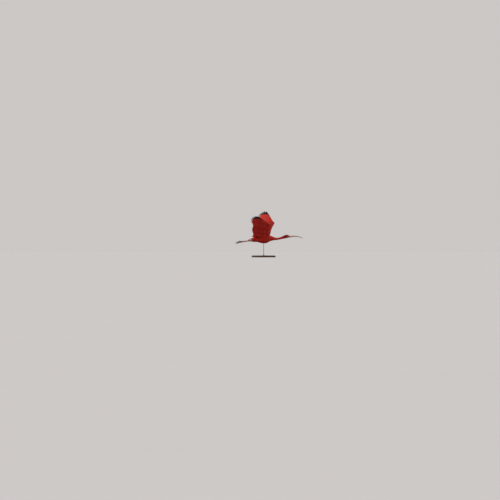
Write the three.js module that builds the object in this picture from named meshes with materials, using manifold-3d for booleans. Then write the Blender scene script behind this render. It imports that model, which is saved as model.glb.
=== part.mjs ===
// A scarlet ibis in flight, life size, on a display stand. Millimetres, +Z up, the bird flies along +X.
// The bird is modelled in its own frame, whose origin lies midway between its shoulders, and a group banks
// it and lifts it onto the rod. The object's origin is the middle of the stand's underside.
import * as THREE from "three";
import { mergeVertices } from "three/addons/utils/BufferGeometryUtils.js";
import Module from "manifold-3d";

const wasm = await Module();
wasm.setup();

const V = (x, y, z) => new THREE.Vector3(x, y, z);
const GAP = 0.3; // left between pieces that touch

// Stand
const BASE_RADIUS = 130;
const BASE_THICKNESS = 20;
const BASE_EDGE = 4; // rounding of the base's upper and lower edges
const ROD_RADIUS = 4;
const ROD_COLLAR_RADIUS = 10;
const ROD_COLLAR_HEIGHT = 6;
const ROD_SINK = 22; // how far the rod goes into the belly
const ROD_X = -42; // where the bird balances, in the bird's frame
const SHOULDER_HEIGHT = 225; // above the floor
const BANK = THREE.MathUtils.degToRad(4.8); // left wing up

// Body: one run of sections from the vent to the base of the bill
const SECTION_SIDES = 20;
const TAIL_CUT = -150; // planes that part the body into its nodes
const NECK_CUT = 46;
const HEAD_CUT = 168;
const BODY_END = -200; // a little behind the body
const BODY_SECTIONS = [
  { x: -186, top: -22, bottom: -33, half: 8 },
  { x: -174, top: -16, bottom: -38, half: 18 },
  { x: -150, top: -7, bottom: -47, half: 30 },
  { x: -115, top: 8, bottom: -61, half: 41 },
  { x: -75, top: 20, bottom: -73, half: 49 },
  { x: -35, top: 26, bottom: -78, half: 53 },
  { x: -5, top: 24, bottom: -72, half: 50 },
  { x: 20, top: 17, bottom: -59, half: 40 },
  { x: 46, top: 7, bottom: -49, half: 27 },
  { x: 78, top: -7, bottom: -42.5, half: 17.5 },
  { x: 110, top: -12, bottom: -39, half: 13.5 },
  { x: 142, top: -5, bottom: -32, half: 13 },
  { x: 168, top: 6.5, bottom: -27, half: 15 },
  { x: 188, top: 15.5, bottom: -22.5, half: 17.2 },
  { x: 206, top: 19.5, bottom: -18.5, half: 17.2 },
  { x: 222, top: 17, bottom: -15, half: 14.4 },
  { x: 235, top: 10.5, bottom: -12.5, half: 10.4 },
  { x: 244, top: 6, bottom: -11, half: 7.4 },
];
const SECTION_STEPS = 2; // rings for each span between two sections
const KEEL_PINCH = 0.14; // how much the lower half of a section narrows

// Head
const EYE = V(219, 11.6, 1.5);
const EYE_RADIUS = 5;
const LID_RADIUS = 4.9;
const LID_TUBE = 1.0;
const BROW_LEAN = 0.2; // how far the eye looks forward
const GAPE = { at: V(238, 9, -3.7), length: 20, depth: 4, height: 0.5, turn: 0.32 }; // corner of the mouth

// Bill
const BILL_BASE = V(243, 0, -2.6);
const BILL_CHORD = 144;
const BILL_BEND_RADIUS = 215;
const BILL_DROP = THREE.MathUtils.degToRad(6.7); // slope of the chord
const BILL_DEPTH = 17;
const BILL_WIDTH = 13.6;
const BILL_TIP_DEPTH = 4.2;
const BILL_TIP_WIDTH = 4.4;
const BILL_STATIONS = 13;
const UPPER_SHARE = 0.56; // upper mandible's part of the bill's depth
const NOSTRIL = { along: 13, length: 9, height: 1.5, rise: 3.1 };

// Wing, left side: joints from the shoulder
const SHOULDER_Y = 32;
const ELBOW_STEP = V(-35.5, 74.3, 69.5);
const WRIST_STEP = V(49, 123, 135.5);
const HAND_LINE = V(-0.413, 0.78, 0.47).normalize();
const HAND_LENGTH = 95;
const ARM_CHORD = V(-0.957, 0.275, 0.095).normalize(); // the way the secondaries point
const ARM_UP = WRIST_STEP.clone().cross(ARM_CHORD).normalize();
const HAND_UP = HAND_LINE.clone().cross(ARM_CHORD).normalize();
const ARM_STATIONS = [ // t runs from the shoulder to the wrist, ahead is the part in front of that line
  { t: -0.12, chord: 86, thick: 22, ahead: 24 },
  { t: 0.12, chord: 88, thick: 21, ahead: 20 },
  { t: 0.45, chord: 91, thick: 17, ahead: 9 },
  { t: 0.75, chord: 60, thick: 15, ahead: 8 },
  { t: 1, chord: 38, thick: 14, ahead: 11 },
];
const HAND_STATIONS = [ // t runs from the wrist to the fingertip
  { t: 0.3, chord: 31, thick: 13 },
  { t: 0.65, chord: 26, thick: 12 },
  { t: 1, chord: 18, thick: 10 },
  { t: 1.08, chord: 7, thick: 4 },
];
const HAND_AHEAD = 6;
const FLESH_SECTION = [ // share of the chord, height above and below
  [0, 0, 0], [0.06, 0.62, 0.62], [0.24, 1, 1], [0.6, 0.92, 0.84], [1, 0.5, 0.3],
];
const PRIMARY_LENGTHS = [185, 191, 198, 205, 209, 210, 207, 201, 190, 163];
const PRIMARY_WIDTHS = [24, 19]; // innermost and outermost
const PRIMARY_STEP = 0.6; // each primary lies this far under the one inside it
const SECONDARY_COUNT = 10;
const SECONDARY_LENGTHS = [117, 182]; // at the elbow and at the wrist
const SECONDARY_WIDTH = 21;
const TERTIAL_COUNT = 5;
const TERTIAL_LENGTHS = [134, 120]; // nearest the body and at the elbow
const TERTIAL_SPAN = [0.28, 0.97]; // the part of the upper arm that they grow on
const TERTIAL_TURN = 0.16; // how far the innermost points towards the body
const TIERS = [
  { share: 0.46, level: 2.5, every: 1, wide: 1, lean: 0.085, hand: true },
  { share: 0.27, level: 5.1, every: 2, wide: 1.45, lean: 0.05, hand: false },
  { share: 0.36, level: -2.8, every: 2, wide: 1.45, lean: 0.05, hand: true },
];
const ALULA_LENGTHS = [60, 46];
const ALULA_WIDTH = 13;
const ALULA_LEVEL = 5.4;
const QUILL_PROFILE = [[0, 0.24], [0.34, 0.8], [0.72, 1], [0.93, 0.64], [1, 0.18]]; // length, width
const COVERT_PROFILE = [[0, 0.5], [0.45, 1], [0.8, 0.86], [0.95, 0.46], [1, 0.14]];
const BLADE_THICKNESS = 0.55;
const BLADE_LEAN = 0.085; // slope of each blade across its width, so that neighbours clear each other
const BLADE_BEND = 0.00016; // sag, in mm for each square mm along the blade
const ROOT_SINK = 17; // length of a blade inside the flesh

// Tail
const TAIL_FANS = [
  { pairs: 6, level: 0, length: 62, width: 19, rootStep: 3.4, profile: QUILL_PROFILE },
  { pairs: 2, level: 3.4, length: 43, width: 19, rootStep: 8, profile: COVERT_PROFILE },
  { pairs: 2, level: -7.6, length: 40, width: 16, rootStep: 7, profile: COVERT_PROFILE },
];
const TAIL_SPREAD = THREE.MathUtils.degToRad(2.5); // between two neighbours
const TAIL_STEP = 1.15; // each pair lies this far under the one inside it
const TAIL_SLOPE = THREE.MathUtils.degToRad(10);
const TAIL_ROOT_Z = -20;

// Leg, left side
const HIP = V(-98, 17, -46);
const ANKLE = V(-200, 13, -45.5);
const TOE_ROOT = V(-288, 12, -57.5);
const LEG_PART = 3.5; // the left foot is carried this much higher than in the line above, the right one lower
const SHANK_RADIUS = 4.3;
const TARSUS_RADIUS = 3.5;
const ANKLE_RADIUS = 6;
const TOE_JOINT_RADIUS = 5.4;
const TOES = [ // middle, outer, inner and hind toe
  { length: 56, spread: 0.02, drop: 0.07, radius: 3 },
  { length: 47, spread: 0.17, drop: 0.24, radius: 2.7 },
  { length: 43, spread: -0.15, drop: 0.2, radius: 2.7 },
  { length: 25, spread: -0.05, drop: -0.36, radius: 2.4 },
];
const TOE_CURL = 0.0018; // bend towards the sole, in mm for each square mm along the toe
const CLAW_LENGTH = 9;
const TUBE_SIDES = 8;

const COLOURS = {
  plumage: 0xc8160c,
  bill: 0x8d6a63,
  skin: 0xb0685f,
  eye: 0x1a0f0c,
  wood: 0x3a2a20,
  metal: 0xb8b4ac,
};

// A small repeatable random source.
function seeded(seed) {
  let state = seed;
  return () => {
    state = (state * 1664525 + 1013904223) % 4294967296;
    return state / 4294967296 - 0.5;
  };
}

// A closed geometry as a solid, mirrored to the right side when side is -1.
function solid(geometry, side = 1) {
  const bare = new THREE.BufferGeometry();
  bare.setAttribute("position", geometry.getAttribute("position").clone());
  if (geometry.index) bare.setIndex(geometry.index.clone());
  if (side < 0) bare.scale(1, -1, 1);
  const merged = mergeVertices(bare, 1e-4);
  const triVerts = new Uint32Array(merged.index.array);
  if (side < 0) triVerts.reverse();
  const vertProperties = new Float32Array(merged.attributes.position.array);
  return new wasm.Manifold(new wasm.Mesh({ numProp: 3, vertProperties, triVerts }));
}

// The largest closed surface of a solid, as a geometry.
function geometryOf(shape) {
  const pieces = shape.decompose().sort((a, b) => b.volume() - a.volume());
  const mesh = pieces[0].getMesh();
  const geometry = new THREE.BufferGeometry();
  geometry.setAttribute("position", new THREE.BufferAttribute(mesh.vertProperties, 3));
  geometry.setIndex(new THREE.BufferAttribute(mesh.triVerts, 1));
  geometry.computeVertexNormals();
  return geometry;
}

// A closed surface through rings of equal length, each ring running anticlockwise seen from its end.
function loft(rings) {
  const sides = rings[0].length;
  const points = rings.flat();
  const index = [];
  for (let r = 0; r + 1 < rings.length; r++) {
    for (let s = 0; s < sides; s++) {
      const a = r * sides + s;
      const b = r * sides + ((s + 1) % sides);
      index.push(a, b, b + sides, a, b + sides, a + sides);
    }
  }
  for (const [r, turned] of [[0, true], [rings.length - 1, false]]) {
    const middle = rings[r].reduce((sum, p) => sum.add(p), V(0, 0, 0)).divideScalar(sides);
    points.push(middle);
    for (let s = 0; s < sides; s++) {
      const a = r * sides + s;
      const b = r * sides + ((s + 1) % sides);
      index.push(...(turned ? [b, a, points.length - 1] : [a, b, points.length - 1]));
    }
  }
  const geometry = new THREE.BufferGeometry().setFromPoints(points);
  geometry.setIndex(index);
  return geometry;
}

// A ring of points round a centre, in the plane of two directions.
function ring(centre, across, up, width, height, sides) {
  return Array.from({ length: sides }, (_, s) => {
    const turn = (2 * Math.PI * s) / sides;
    return centre
      .clone()
      .addScaledVector(across, width * Math.cos(turn))
      .addScaledVector(up, height * Math.sin(turn));
  });
}

// A round limb through stations of { at, radius }, its rings square to the line between its ends.
function limb(stations, sides = TUBE_SIDES) {
  const line = stations[stations.length - 1].at.clone().sub(stations[0].at).normalize();
  const across = V(0, 1, 0).cross(line).normalize();
  const up = line.clone().cross(across);
  return loft(stations.map(({ at, radius }) => ring(at, across, up, radius, radius, sides)));
}

function join(shapes) {
  return wasm.Manifold.union(shapes);
}

// What lies between two planes of constant x.
function between(shape, low, high) {
  return shape.trimByPlane([1, 0, 0], low).trimByPlane([-1, 0, 0], -high);
}

// Body
function bodyShape(grow) {
  const outline = new THREE.CatmullRomCurve3(
    BODY_SECTIONS.map((s) => V(s.x, s.top, s.bottom)), false, "catmullrom", 0.5);
  const widths = new THREE.CatmullRomCurve3(
    BODY_SECTIONS.map((s) => V(s.x, s.half, 0)), false, "catmullrom", 0.5);
  const count = (BODY_SECTIONS.length - 1) * SECTION_STEPS;
  const rings = [];
  for (let k = 0; k <= count; k++) {
    const edge = outline.getPoint(k / count);
    const half = widths.getPoint(k / count).y + grow;
    const middle = (edge.y + edge.z) / 2;
    const height = (edge.y - edge.z) / 2 + grow;
    const points = ring(V(edge.x, 0, middle), V(0, 1, 0), V(0, 0, 1), half, height, SECTION_SIDES);
    for (const p of points) {
      const below = Math.max(0, (middle - p.z) / height);
      p.y *= 1 - KEEL_PINCH * below * below;
    }
    rings.push(points);
  }
  return solid(loft(rings));
}

// Wing: one blade, from its root along its shaft, with its leading edge raised and a round tip
function blade({ root, along, up, length, width, level, lean, side, profile = QUILL_PROFILE }) {
  const lead = along.clone().cross(up).normalize(); // towards the leading edge on the left wing
  const top = lead.clone().cross(along).normalize();
  const rings = profile.map(([share, wide]) => {
    const distance = length * share;
    const middle = root
      .clone()
      .addScaledVector(along, distance)
      .addScaledVector(top, level - BLADE_BEND * distance * distance);
    const half = (width / 2) * wide;
    const thick = BLADE_THICKNESS / 2;
    const corner = (q, h) =>
      middle.clone().addScaledVector(lead, q).addScaledVector(top, h + q * lean);
    return [corner(half, -thick), corner(-half, -thick), corner(-half, thick), corner(half, thick)];
  });
  return solid(loft(rings), side);
}

// The left wing's joints, and the blade that grows at each root from the body outwards.
function wingRoots() {
  const shoulder = V(0, SHOULDER_Y, 0);
  const elbow = shoulder.clone().add(ELBOW_STEP);
  const wrist = shoulder.clone().add(WRIST_STEP);
  const fingertip = wrist.clone().addScaledVector(HAND_LINE, HAND_LENGTH);
  const roots = [];
  for (let k = 0; k < TERTIAL_COUNT; k++) {
    const t = (k + 0.5) / TERTIAL_COUNT;
    roots.push({
      root: shoulder.clone().lerp(elbow, THREE.MathUtils.lerp(...TERTIAL_SPAN, t)),
      along: ARM_CHORD.clone().applyAxisAngle(ARM_UP, TERTIAL_TURN * (1 - t)),
      up: ARM_UP,
      length: THREE.MathUtils.lerp(...TERTIAL_LENGTHS, t),
      width: SECONDARY_WIDTH,
      level: 0,
    });
  }
  for (let k = 0; k < SECONDARY_COUNT; k++) {
    const t = (k + 0.4) / SECONDARY_COUNT;
    roots.push({
      root: elbow.clone().lerp(wrist, t),
      along: ARM_CHORD,
      up: ARM_UP,
      length: THREE.MathUtils.lerp(...SECONDARY_LENGTHS, t),
      width: SECONDARY_WIDTH,
      level: 0,
    });
  }
  PRIMARY_LENGTHS.forEach((length, k) => {
    const t = k / (PRIMARY_LENGTHS.length - 1);
    roots.push({
      root: wrist.clone().lerp(fingertip, 0.06 + 0.9 * t),
      along: ARM_CHORD.clone().applyAxisAngle(HAND_UP, -t * ARM_CHORD.angleTo(HAND_LINE)),
      up: ARM_UP.clone().lerp(HAND_UP, Math.min(1, t * 3)).normalize(),
      length,
      width: THREE.MathUtils.lerp(...PRIMARY_WIDTHS, t),
      level: -PRIMARY_STEP * k,
      hand: true,
    });
  });
  return { shoulder, elbow, wrist, fingertip, roots };
}

// The flesh of the wing: sections from the shoulder to the fingertip, round in front and thinner behind.
function wingCore({ shoulder, wrist, fingertip }) {
  const arm = ARM_STATIONS.map((s) => ({
    ...s,
    at: shoulder.clone().lerp(wrist, s.t),
    back: ARM_CHORD,
    up: ARM_UP,
  }));
  const hand = HAND_STATIONS.map((s) => ({
    ...s,
    at: wrist.clone().lerp(fingertip, s.t).addScaledVector(HAND_UP, -2.4 * s.t), // as the primaries step down
    ahead: HAND_AHEAD,
    back: ARM_CHORD.clone().lerp(HAND_LINE, 0.35 * s.t).normalize(),
    up: HAND_UP,
  }));
  return loft([...arm, ...hand].map(({ at, chord, thick, ahead, back, up }) => {
    const top = up.clone().addScaledVector(back, -up.dot(back)).normalize();
    const point = (share, height) =>
      at.clone().addScaledVector(back, share * chord - ahead).addScaledVector(top, (height * thick) / 2);
    const upper = FLESH_SECTION.map(([share, above]) => point(share, above));
    const lower = FLESH_SECTION.slice(1).map(([share, , below]) => point(share, -below)).reverse();
    return [...upper, ...lower].reverse();
  }));
}

function wingShape(side) {
  const wing = wingRoots();
  const random = seeded(side > 0 ? 11 : 29);
  const parts = [solid(wingCore(wing), side)];
  wing.roots.forEach((root, k) => {
    const feather = { ...root, side, lean: BLADE_LEAN, length: root.length * (1 + 0.03 * random()) };
    parts.push(blade(feather));
    for (const tier of TIERS) {
      if (k % tier.every || (root.hand && !tier.hand)) continue;
      parts.push(blade({
        ...feather,
        level: root.level + tier.level,
        lean: tier.lean,
        length: ROOT_SINK + tier.share * root.length,
        width: root.width * tier.wide,
        profile: COVERT_PROFILE,
      }));
    }
  });
  ALULA_LENGTHS.forEach((length, k) => {
    parts.push(blade({
      root: wing.wrist.clone().addScaledVector(HAND_LINE, 5 + 5 * k).addScaledVector(ARM_CHORD, 1 + 4 * k),
      along: HAND_LINE,
      up: HAND_UP,
      length,
      width: ALULA_WIDTH,
      lean: 0,
      level: ALULA_LEVEL + k,
      profile: COVERT_PROFILE,
      side,
    }));
  });
  return join(parts);
}

// Tail: the rump, then fans of blades, each pair under the one inside it
function tailShape(body) {
  const parts = [between(body, BODY_END, TAIL_CUT - GAP / 2)];
  for (const fan of TAIL_FANS) {
    for (let pair = 0; pair < fan.pairs; pair++) {
      for (const side of [1, -1]) {
        const angle = TAIL_SPREAD * (pair + 0.5);
        const raised = side < 0 && pair === 0;
        parts.push(blade({
          root: V(TAIL_CUT - 4, fan.rootStep * (pair + 0.6), TAIL_ROOT_Z),
          along: V(-Math.cos(angle), Math.sin(angle), -Math.sin(TAIL_SLOPE)).normalize(),
          up: V(0, 0, 1),
          length: fan.length,
          width: fan.width,
          lean: BLADE_LEAN,
          level: fan.level + (raised ? TAIL_STEP : -TAIL_STEP * pair),
          profile: fan.profile,
          side,
        }));
      }
    }
  }
  return join(parts);
}

// Leg: the joints on one side, still drawn on the left
function legJoints(side) {
  return {
    ankle: ANKLE.clone().add(V(0, 0, (side * LEG_PART) / 3)),
    toeRoot: TOE_ROOT.clone().add(V(0, 0, side * LEG_PART)),
  };
}

function legShape(side) {
  const { ankle, toeRoot } = legJoints(side);
  const knee = HIP.clone().lerp(ankle, 0.55).add(V(0, 0, -3));
  const shank = limb([
    { at: HIP, radius: 9 },
    { at: knee, radius: 5.6 },
    { at: ankle.clone().lerp(HIP, 0.12), radius: SHANK_RADIUS },
    { at: ankle.clone().lerp(HIP, 0.04), radius: ANKLE_RADIUS * 0.94 },
    { at: ankle.clone().lerp(toeRoot, 0.02), radius: ANKLE_RADIUS * 0.9 },
  ]);
  const tarsus = limb([
    { at: ankle.clone().lerp(HIP, 0.03), radius: ANKLE_RADIUS * 0.7 },
    { at: ankle, radius: ANKLE_RADIUS },
    { at: ankle.clone().lerp(toeRoot, 0.12), radius: TARSUS_RADIUS * 1.15 },
    { at: ankle.clone().lerp(toeRoot, 0.5), radius: TARSUS_RADIUS },
    { at: ankle.clone().lerp(toeRoot, 0.88), radius: TARSUS_RADIUS * 1.1 },
    { at: toeRoot.clone().lerp(ankle, GAP / toeRoot.distanceTo(ankle)), radius: TARSUS_RADIUS * 1.3 },
  ]);
  return join([solid(shank, side), solid(tarsus, side)]);
}

function toeShape(toeRoot, { length, spread, drop, radius }, side) {
  const along = V(-1, spread, -drop).normalize();
  const at = (d) => toeRoot.clone().addScaledVector(along, d).add(V(0, 0, -TOE_CURL * d * d));
  const stations = [
    { at: at(2), radius: radius * 1.2 },
    { at: at(length * 0.3), radius: radius * 0.86 },
    { at: at(length * 0.36), radius },
    { at: at(length * 0.62), radius: radius * 0.74 },
    { at: at(length * 0.68), radius: radius * 0.86 },
    { at: at(length), radius: radius * 0.62 },
    { at: at(length + CLAW_LENGTH * 0.5), radius: radius * 0.42 },
    { at: at(length + CLAW_LENGTH), radius: 0.35 },
  ];
  return solid(limb(stations, 7), side);
}

function footShape(side) {
  const { ankle, toeRoot } = legJoints(side);
  const line = toeRoot.clone().sub(ankle).normalize();
  const joint = limb([
    { at: toeRoot, radius: TARSUS_RADIUS * 1.3 },
    { at: toeRoot.clone().addScaledVector(line, 4), radius: TOE_JOINT_RADIUS },
    { at: toeRoot.clone().addScaledVector(line, 9), radius: TOE_JOINT_RADIUS * 0.7 },
  ]);
  const web = V(-1, 0.01, -0.17).normalize();
  const webbing = loft([[3, 4, 2], [12, 5, 1.2], [20, 3.4, 0.5]].map(([d, wide, thick]) =>
    ring(toeRoot.clone().addScaledVector(web, d), V(0, 1, 0), V(0, 0, 1), wide, thick, 8).reverse()));
  const parts = [solid(joint, side), solid(webbing, side)];
  for (const toe of TOES) parts.push(toeShape(toeRoot, toe, side));
  return join(parts);
}

// Head
function eyeShape(side, grow) {
  const ball = new THREE.SphereGeometry(EYE_RADIUS + grow, 12, 8);
  ball.translate(EYE.x, EYE.y, EYE.z);
  return solid(ball, side);
}

function headShape(body) {
  const parts = [between(body, HEAD_CUT + GAP / 2, BILL_BASE.x - GAP / 2)];
  for (const side of [1, -1]) {
    const lid = new THREE.TorusGeometry(LID_RADIUS, LID_TUBE, 5, 12);
    lid.rotateX(-Math.PI / 2);
    lid.rotateZ(-BROW_LEAN);
    lid.translate(EYE.x + 0.5, EYE.y + 2.6, EYE.z);
    parts.push(solid(lid, side));
  }
  let head = join(parts);
  for (const side of [1, -1]) {
    const mouth = new THREE.BoxGeometry(GAPE.length, GAPE.depth, GAPE.height);
    mouth.rotateZ(GAPE.turn);
    mouth.translate(GAPE.at.x, GAPE.at.y, GAPE.at.z);
    head = head.subtract(eyeShape(side, GAP)).subtract(solid(mouth, side));
  }
  return head;
}

// Bill: the centre line is an arc, and each mandible is the part of its section above or below the mouth
function billRing(share, upper) {
  const half = Math.asin(BILL_CHORD / 2 / BILL_BEND_RADIUS);
  const turn = half * (1 - 2 * share) - BILL_DROP; // slope of the line at this share
  const start = half - BILL_DROP;
  const centre = BILL_BASE.clone().add(V(
    BILL_BEND_RADIUS * (Math.sin(start) - Math.sin(turn)),
    0,
    BILL_BEND_RADIUS * (Math.cos(turn) - Math.cos(start)),
  ));
  const up = V(-Math.sin(turn), 0, Math.cos(turn));
  const taper = Math.pow(1 - share, 1.15);
  const depth = BILL_TIP_DEPTH + (BILL_DEPTH - BILL_TIP_DEPTH) * taper;
  const wide = (BILL_TIP_WIDTH + (BILL_WIDTH - BILL_TIP_WIDTH) * taper) / 2;
  const closing = share > 0.985 ? 0.45 : 1;
  const mouth = -depth * (UPPER_SHARE - 0.5);
  const groove = share > 0.04 && share < 0.93 ? 0.8 : 1;
  const rows = upper
    ? [[-0.92, mouth + GAP / 2], [-1, mouth + depth * 0.12], [-0.86 * groove, mouth + depth * 0.27],
      [-0.74, mouth + depth * 0.38], [-0.3, mouth + depth * UPPER_SHARE]]
    : [[-0.92, mouth - GAP / 2], [-0.94, mouth - depth * 0.12], [-0.7, mouth - depth * 0.3],
      [-0.28, mouth - depth * (1 - UPPER_SHARE)]];
  const outline = [...rows, ...rows.map(([q, h]) => [-q, h]).reverse()];
  const points = outline.map(([q, h]) => {
    const height = mouth + (h - mouth) * closing;
    return centre.clone().addScaledVector(V(0, 1, 0), q * wide * closing).addScaledVector(up, height);
  });
  return upper ? points.reverse() : points;
}

function billShape(upper) {
  const rings = [];
  for (let k = 0; k < BILL_STATIONS; k++) rings.push(billRing(k / (BILL_STATIONS - 1), upper));
  let shape = solid(loft(rings)).trimByPlane([1, 0, 0], BILL_BASE.x + GAP / 2);
  if (upper) {
    for (const side of [1, -1]) {
      const nostril = new THREE.SphereGeometry(1, 10, 6);
      nostril.scale(NOSTRIL.length / 2, 1.6, NOSTRIL.height / 2);
      nostril.rotateY(-0.1);
      nostril.translate(BILL_BASE.x + NOSTRIL.along, BILL_WIDTH * 0.33, BILL_BASE.z + NOSTRIL.rise + 2.4);
      shape = shape.subtract(solid(nostril, side));
    }
  }
  return shape;
}

// Stand
function baseGeometry() {
  const r = BASE_RADIUS;
  const t = BASE_THICKNESS;
  const e = BASE_EDGE;
  return new THREE.LatheGeometry([
    new THREE.Vector2(0, 0),
    new THREE.Vector2(r - e, 0),
    new THREE.Vector2(r, e),
    new THREE.Vector2(r, t - 2 * e),
    new THREE.Vector2(r - e / 2, t - e),
    new THREE.Vector2(r - 1.6 * e, t),
    new THREE.Vector2(0, t),
  ], 40).rotateX(Math.PI / 2);
}

function rodGeometry(top) {
  const foot = BASE_THICKNESS + GAP;
  return new THREE.LatheGeometry([
    new THREE.Vector2(0, foot),
    new THREE.Vector2(ROD_COLLAR_RADIUS, foot),
    new THREE.Vector2(ROD_COLLAR_RADIUS, foot + ROD_COLLAR_HEIGHT * 0.6),
    new THREE.Vector2(ROD_COLLAR_RADIUS * 0.7, foot + ROD_COLLAR_HEIGHT),
    new THREE.Vector2(ROD_RADIUS, foot + ROD_COLLAR_HEIGHT + 2),
    new THREE.Vector2(ROD_RADIUS, top),
    new THREE.Vector2(0, top),
  ], 20).rotateX(Math.PI / 2);
}

const bird = new THREE.Group();
bird.rotation.x = BANK;
bird.position.set(-ROD_X, 0, SHOULDER_HEIGHT);
bird.updateMatrixWorld(true);

// The hole that takes the rod's end, seen from the bird's frame.
function rodHole(bellyHeight) {
  const height = ROD_SINK + 60;
  const hole = new THREE.CylinderGeometry(ROD_RADIUS + GAP, ROD_RADIUS + GAP, height, 20);
  hole.rotateX(Math.PI / 2);
  hole.translate(0, 0, bellyHeight + ROD_SINK + GAP - height / 2);
  hole.applyMatrix4(bird.matrixWorld.clone().invert());
  return solid(hole);
}

const material = (color, roughness, metalness = 0) =>
  new THREE.MeshStandardMaterial({ color, roughness, metalness });
const plumage = material(COLOURS.plumage, 0.8);
const skin = material(COLOURS.skin, 0.6);
const horn = material(COLOURS.bill, 0.45);
const eyeball = material(COLOURS.eye, 0.08);
const wood = material(COLOURS.wood, 0.5);
const metal = material(COLOURS.metal, 0.3, 1);

function add(group, name, geometry, finish) {
  const mesh = new THREE.Mesh(geometry, finish);
  mesh.name = name;
  group.add(mesh);
}

const body = bodyShape(0);
const grown = bodyShape(GAP);
const bellyHeight = SHOULDER_HEIGHT + BODY_SECTIONS[5].bottom;

const torso = between(body, TAIL_CUT + GAP / 2, NECK_CUT - GAP / 2).subtract(rodHole(bellyHeight));
add(bird, "torso", geometryOf(torso), plumage);
add(bird, "neck", geometryOf(between(body, NECK_CUT + GAP / 2, HEAD_CUT - GAP / 2)), plumage);
add(bird, "head", geometryOf(headShape(body)), plumage);
add(bird, "bill_upper", geometryOf(billShape(true)), horn);
add(bird, "bill_lower", geometryOf(billShape(false)), horn);
add(bird, "tail", geometryOf(tailShape(body)), plumage);
for (const [side, word] of [[1, "left"], [-1, "right"]]) {
  add(bird, `eye_${word}`, geometryOf(eyeShape(side, 0)), eyeball);
  add(bird, `wing_${word}`, geometryOf(wingShape(side).subtract(grown)), plumage);
  add(bird, `leg_${word}`, geometryOf(legShape(side).subtract(grown)), skin);
  add(bird, `foot_${word}`, geometryOf(footShape(side)), skin);
}

const ibis = new THREE.Group();
ibis.add(bird);
add(ibis, "stand_base", baseGeometry(), wood);
add(ibis, "stand_rod", rodGeometry(bellyHeight + ROD_SINK), metal);

export default ibis;
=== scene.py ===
"""A scarlet ibis in flight, held by a display stand.

The bird is worked out in millimetres in its own frame, whose origin lies midway between its shoulders:
x runs towards the bill, y towards its left wing, z up. to_world banks it and lifts it onto the stand.
"""
import math
from dataclasses import dataclass, replace

import bmesh
import bpy
import numpy as np
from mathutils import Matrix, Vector
from mathutils.bvhtree import BVHTree
from mathutils.kdtree import KDTree


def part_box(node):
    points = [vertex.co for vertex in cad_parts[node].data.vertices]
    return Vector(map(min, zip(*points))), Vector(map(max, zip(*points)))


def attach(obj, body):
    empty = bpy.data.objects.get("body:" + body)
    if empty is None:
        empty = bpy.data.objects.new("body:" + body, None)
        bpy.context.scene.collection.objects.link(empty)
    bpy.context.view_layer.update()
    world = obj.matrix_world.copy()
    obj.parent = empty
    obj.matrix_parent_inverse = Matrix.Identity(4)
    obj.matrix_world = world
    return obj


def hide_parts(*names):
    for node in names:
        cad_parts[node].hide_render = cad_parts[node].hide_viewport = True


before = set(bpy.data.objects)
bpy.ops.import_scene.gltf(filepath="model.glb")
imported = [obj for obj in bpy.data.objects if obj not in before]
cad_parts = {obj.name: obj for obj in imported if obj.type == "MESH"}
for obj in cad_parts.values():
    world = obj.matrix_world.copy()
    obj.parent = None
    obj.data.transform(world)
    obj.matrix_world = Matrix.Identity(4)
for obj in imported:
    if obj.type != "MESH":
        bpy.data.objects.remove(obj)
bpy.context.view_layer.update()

SCENE = bpy.context.scene
RANDOM = np.random.default_rng(7)
SIDES = ((1, "left"), (-1, "right"))  # the sign of y, and the word in the names

# Placing the bird on its stand
ROD_X = -42
SHOULDER_HEIGHT = 225
BANK = math.radians(4.8)

# The photograph's view
IMAGE_SIDE = 500  # pixels
SHOULDER_PIXEL = (267.5, 236.5)
MM_PER_PIXEL = 10.8
CAMERA_AZIMUTH = math.radians(8)
CAMERA_LENS = 200
SENSOR_WIDTH = 36

# Body sections from the vent to the base of the bill: x, top, bottom, half width, depth of the plumage
SECTIONS = np.array([
    (-186, -22, -33, 8, 2), (-174, -16, -38, 18, 3), (-150, -7, -47, 30, 4), (-115, 8, -61, 41, 5),
    (-75, 20, -73, 49, 5), (-35, 26, -78, 53, 5), (-5, 24, -72, 50, 5), (20, 17, -59, 40, 4.5),
    (46, 7, -49, 27, 4), (78, -7, -42.5, 17.5, 3.2), (110, -12, -39, 13.5, 2.6), (142, -5, -32, 13, 2.2),
    (168, 6.5, -27, 15, 1.9), (188, 15.5, -22.5, 17.2, 1.6), (206, 19.5, -18.5, 17.2, 1.3),
    (222, 17, -15, 14.4, 0.9), (235, 10.5, -12.5, 10.4, 0.5), (244, 6, -11, 7.4, 0.3),
], float)
KEEL_PINCH = 0.14
TAIL_CUT = -150

# Head
EYE = np.array([219, 11.6, 1.5])
EYE_RADIUS = 5.0
EYE_AXIS = np.array([0.2, 0.97, 0.06]) / np.linalg.norm([0.2, 0.97, 0.06])
LID_RADIUS = 4.75
HEAD_FROM = (178, 200)  # x from which the head's skin is twice and four times as fine
EYE_SURROUND = 10  # and twice as fine again within this reach of the eyes

# Bill
BILL_BASE = np.array([243, 0, -2.6])
BILL_CHORD = 144
BILL_BEND_RADIUS = 215
BILL_DROP = math.radians(6.7)
BILL_DEPTH = 17
BILL_WIDTH = 13.6
BILL_TIP_DEPTH = 4.2
BILL_TIP_WIDTH = 4.4
UPPER_SHARE = 0.56

# Left wing
SHOULDER = np.array([0, 32, 0], float)
ELBOW = SHOULDER + (-35.5, 74.3, 69.5)
WRIST = SHOULDER + (49, 123, 135.5)


def unit(v):
    v = np.asarray(v, float)
    return v / np.linalg.norm(v, axis=-1, keepdims=True)


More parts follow.
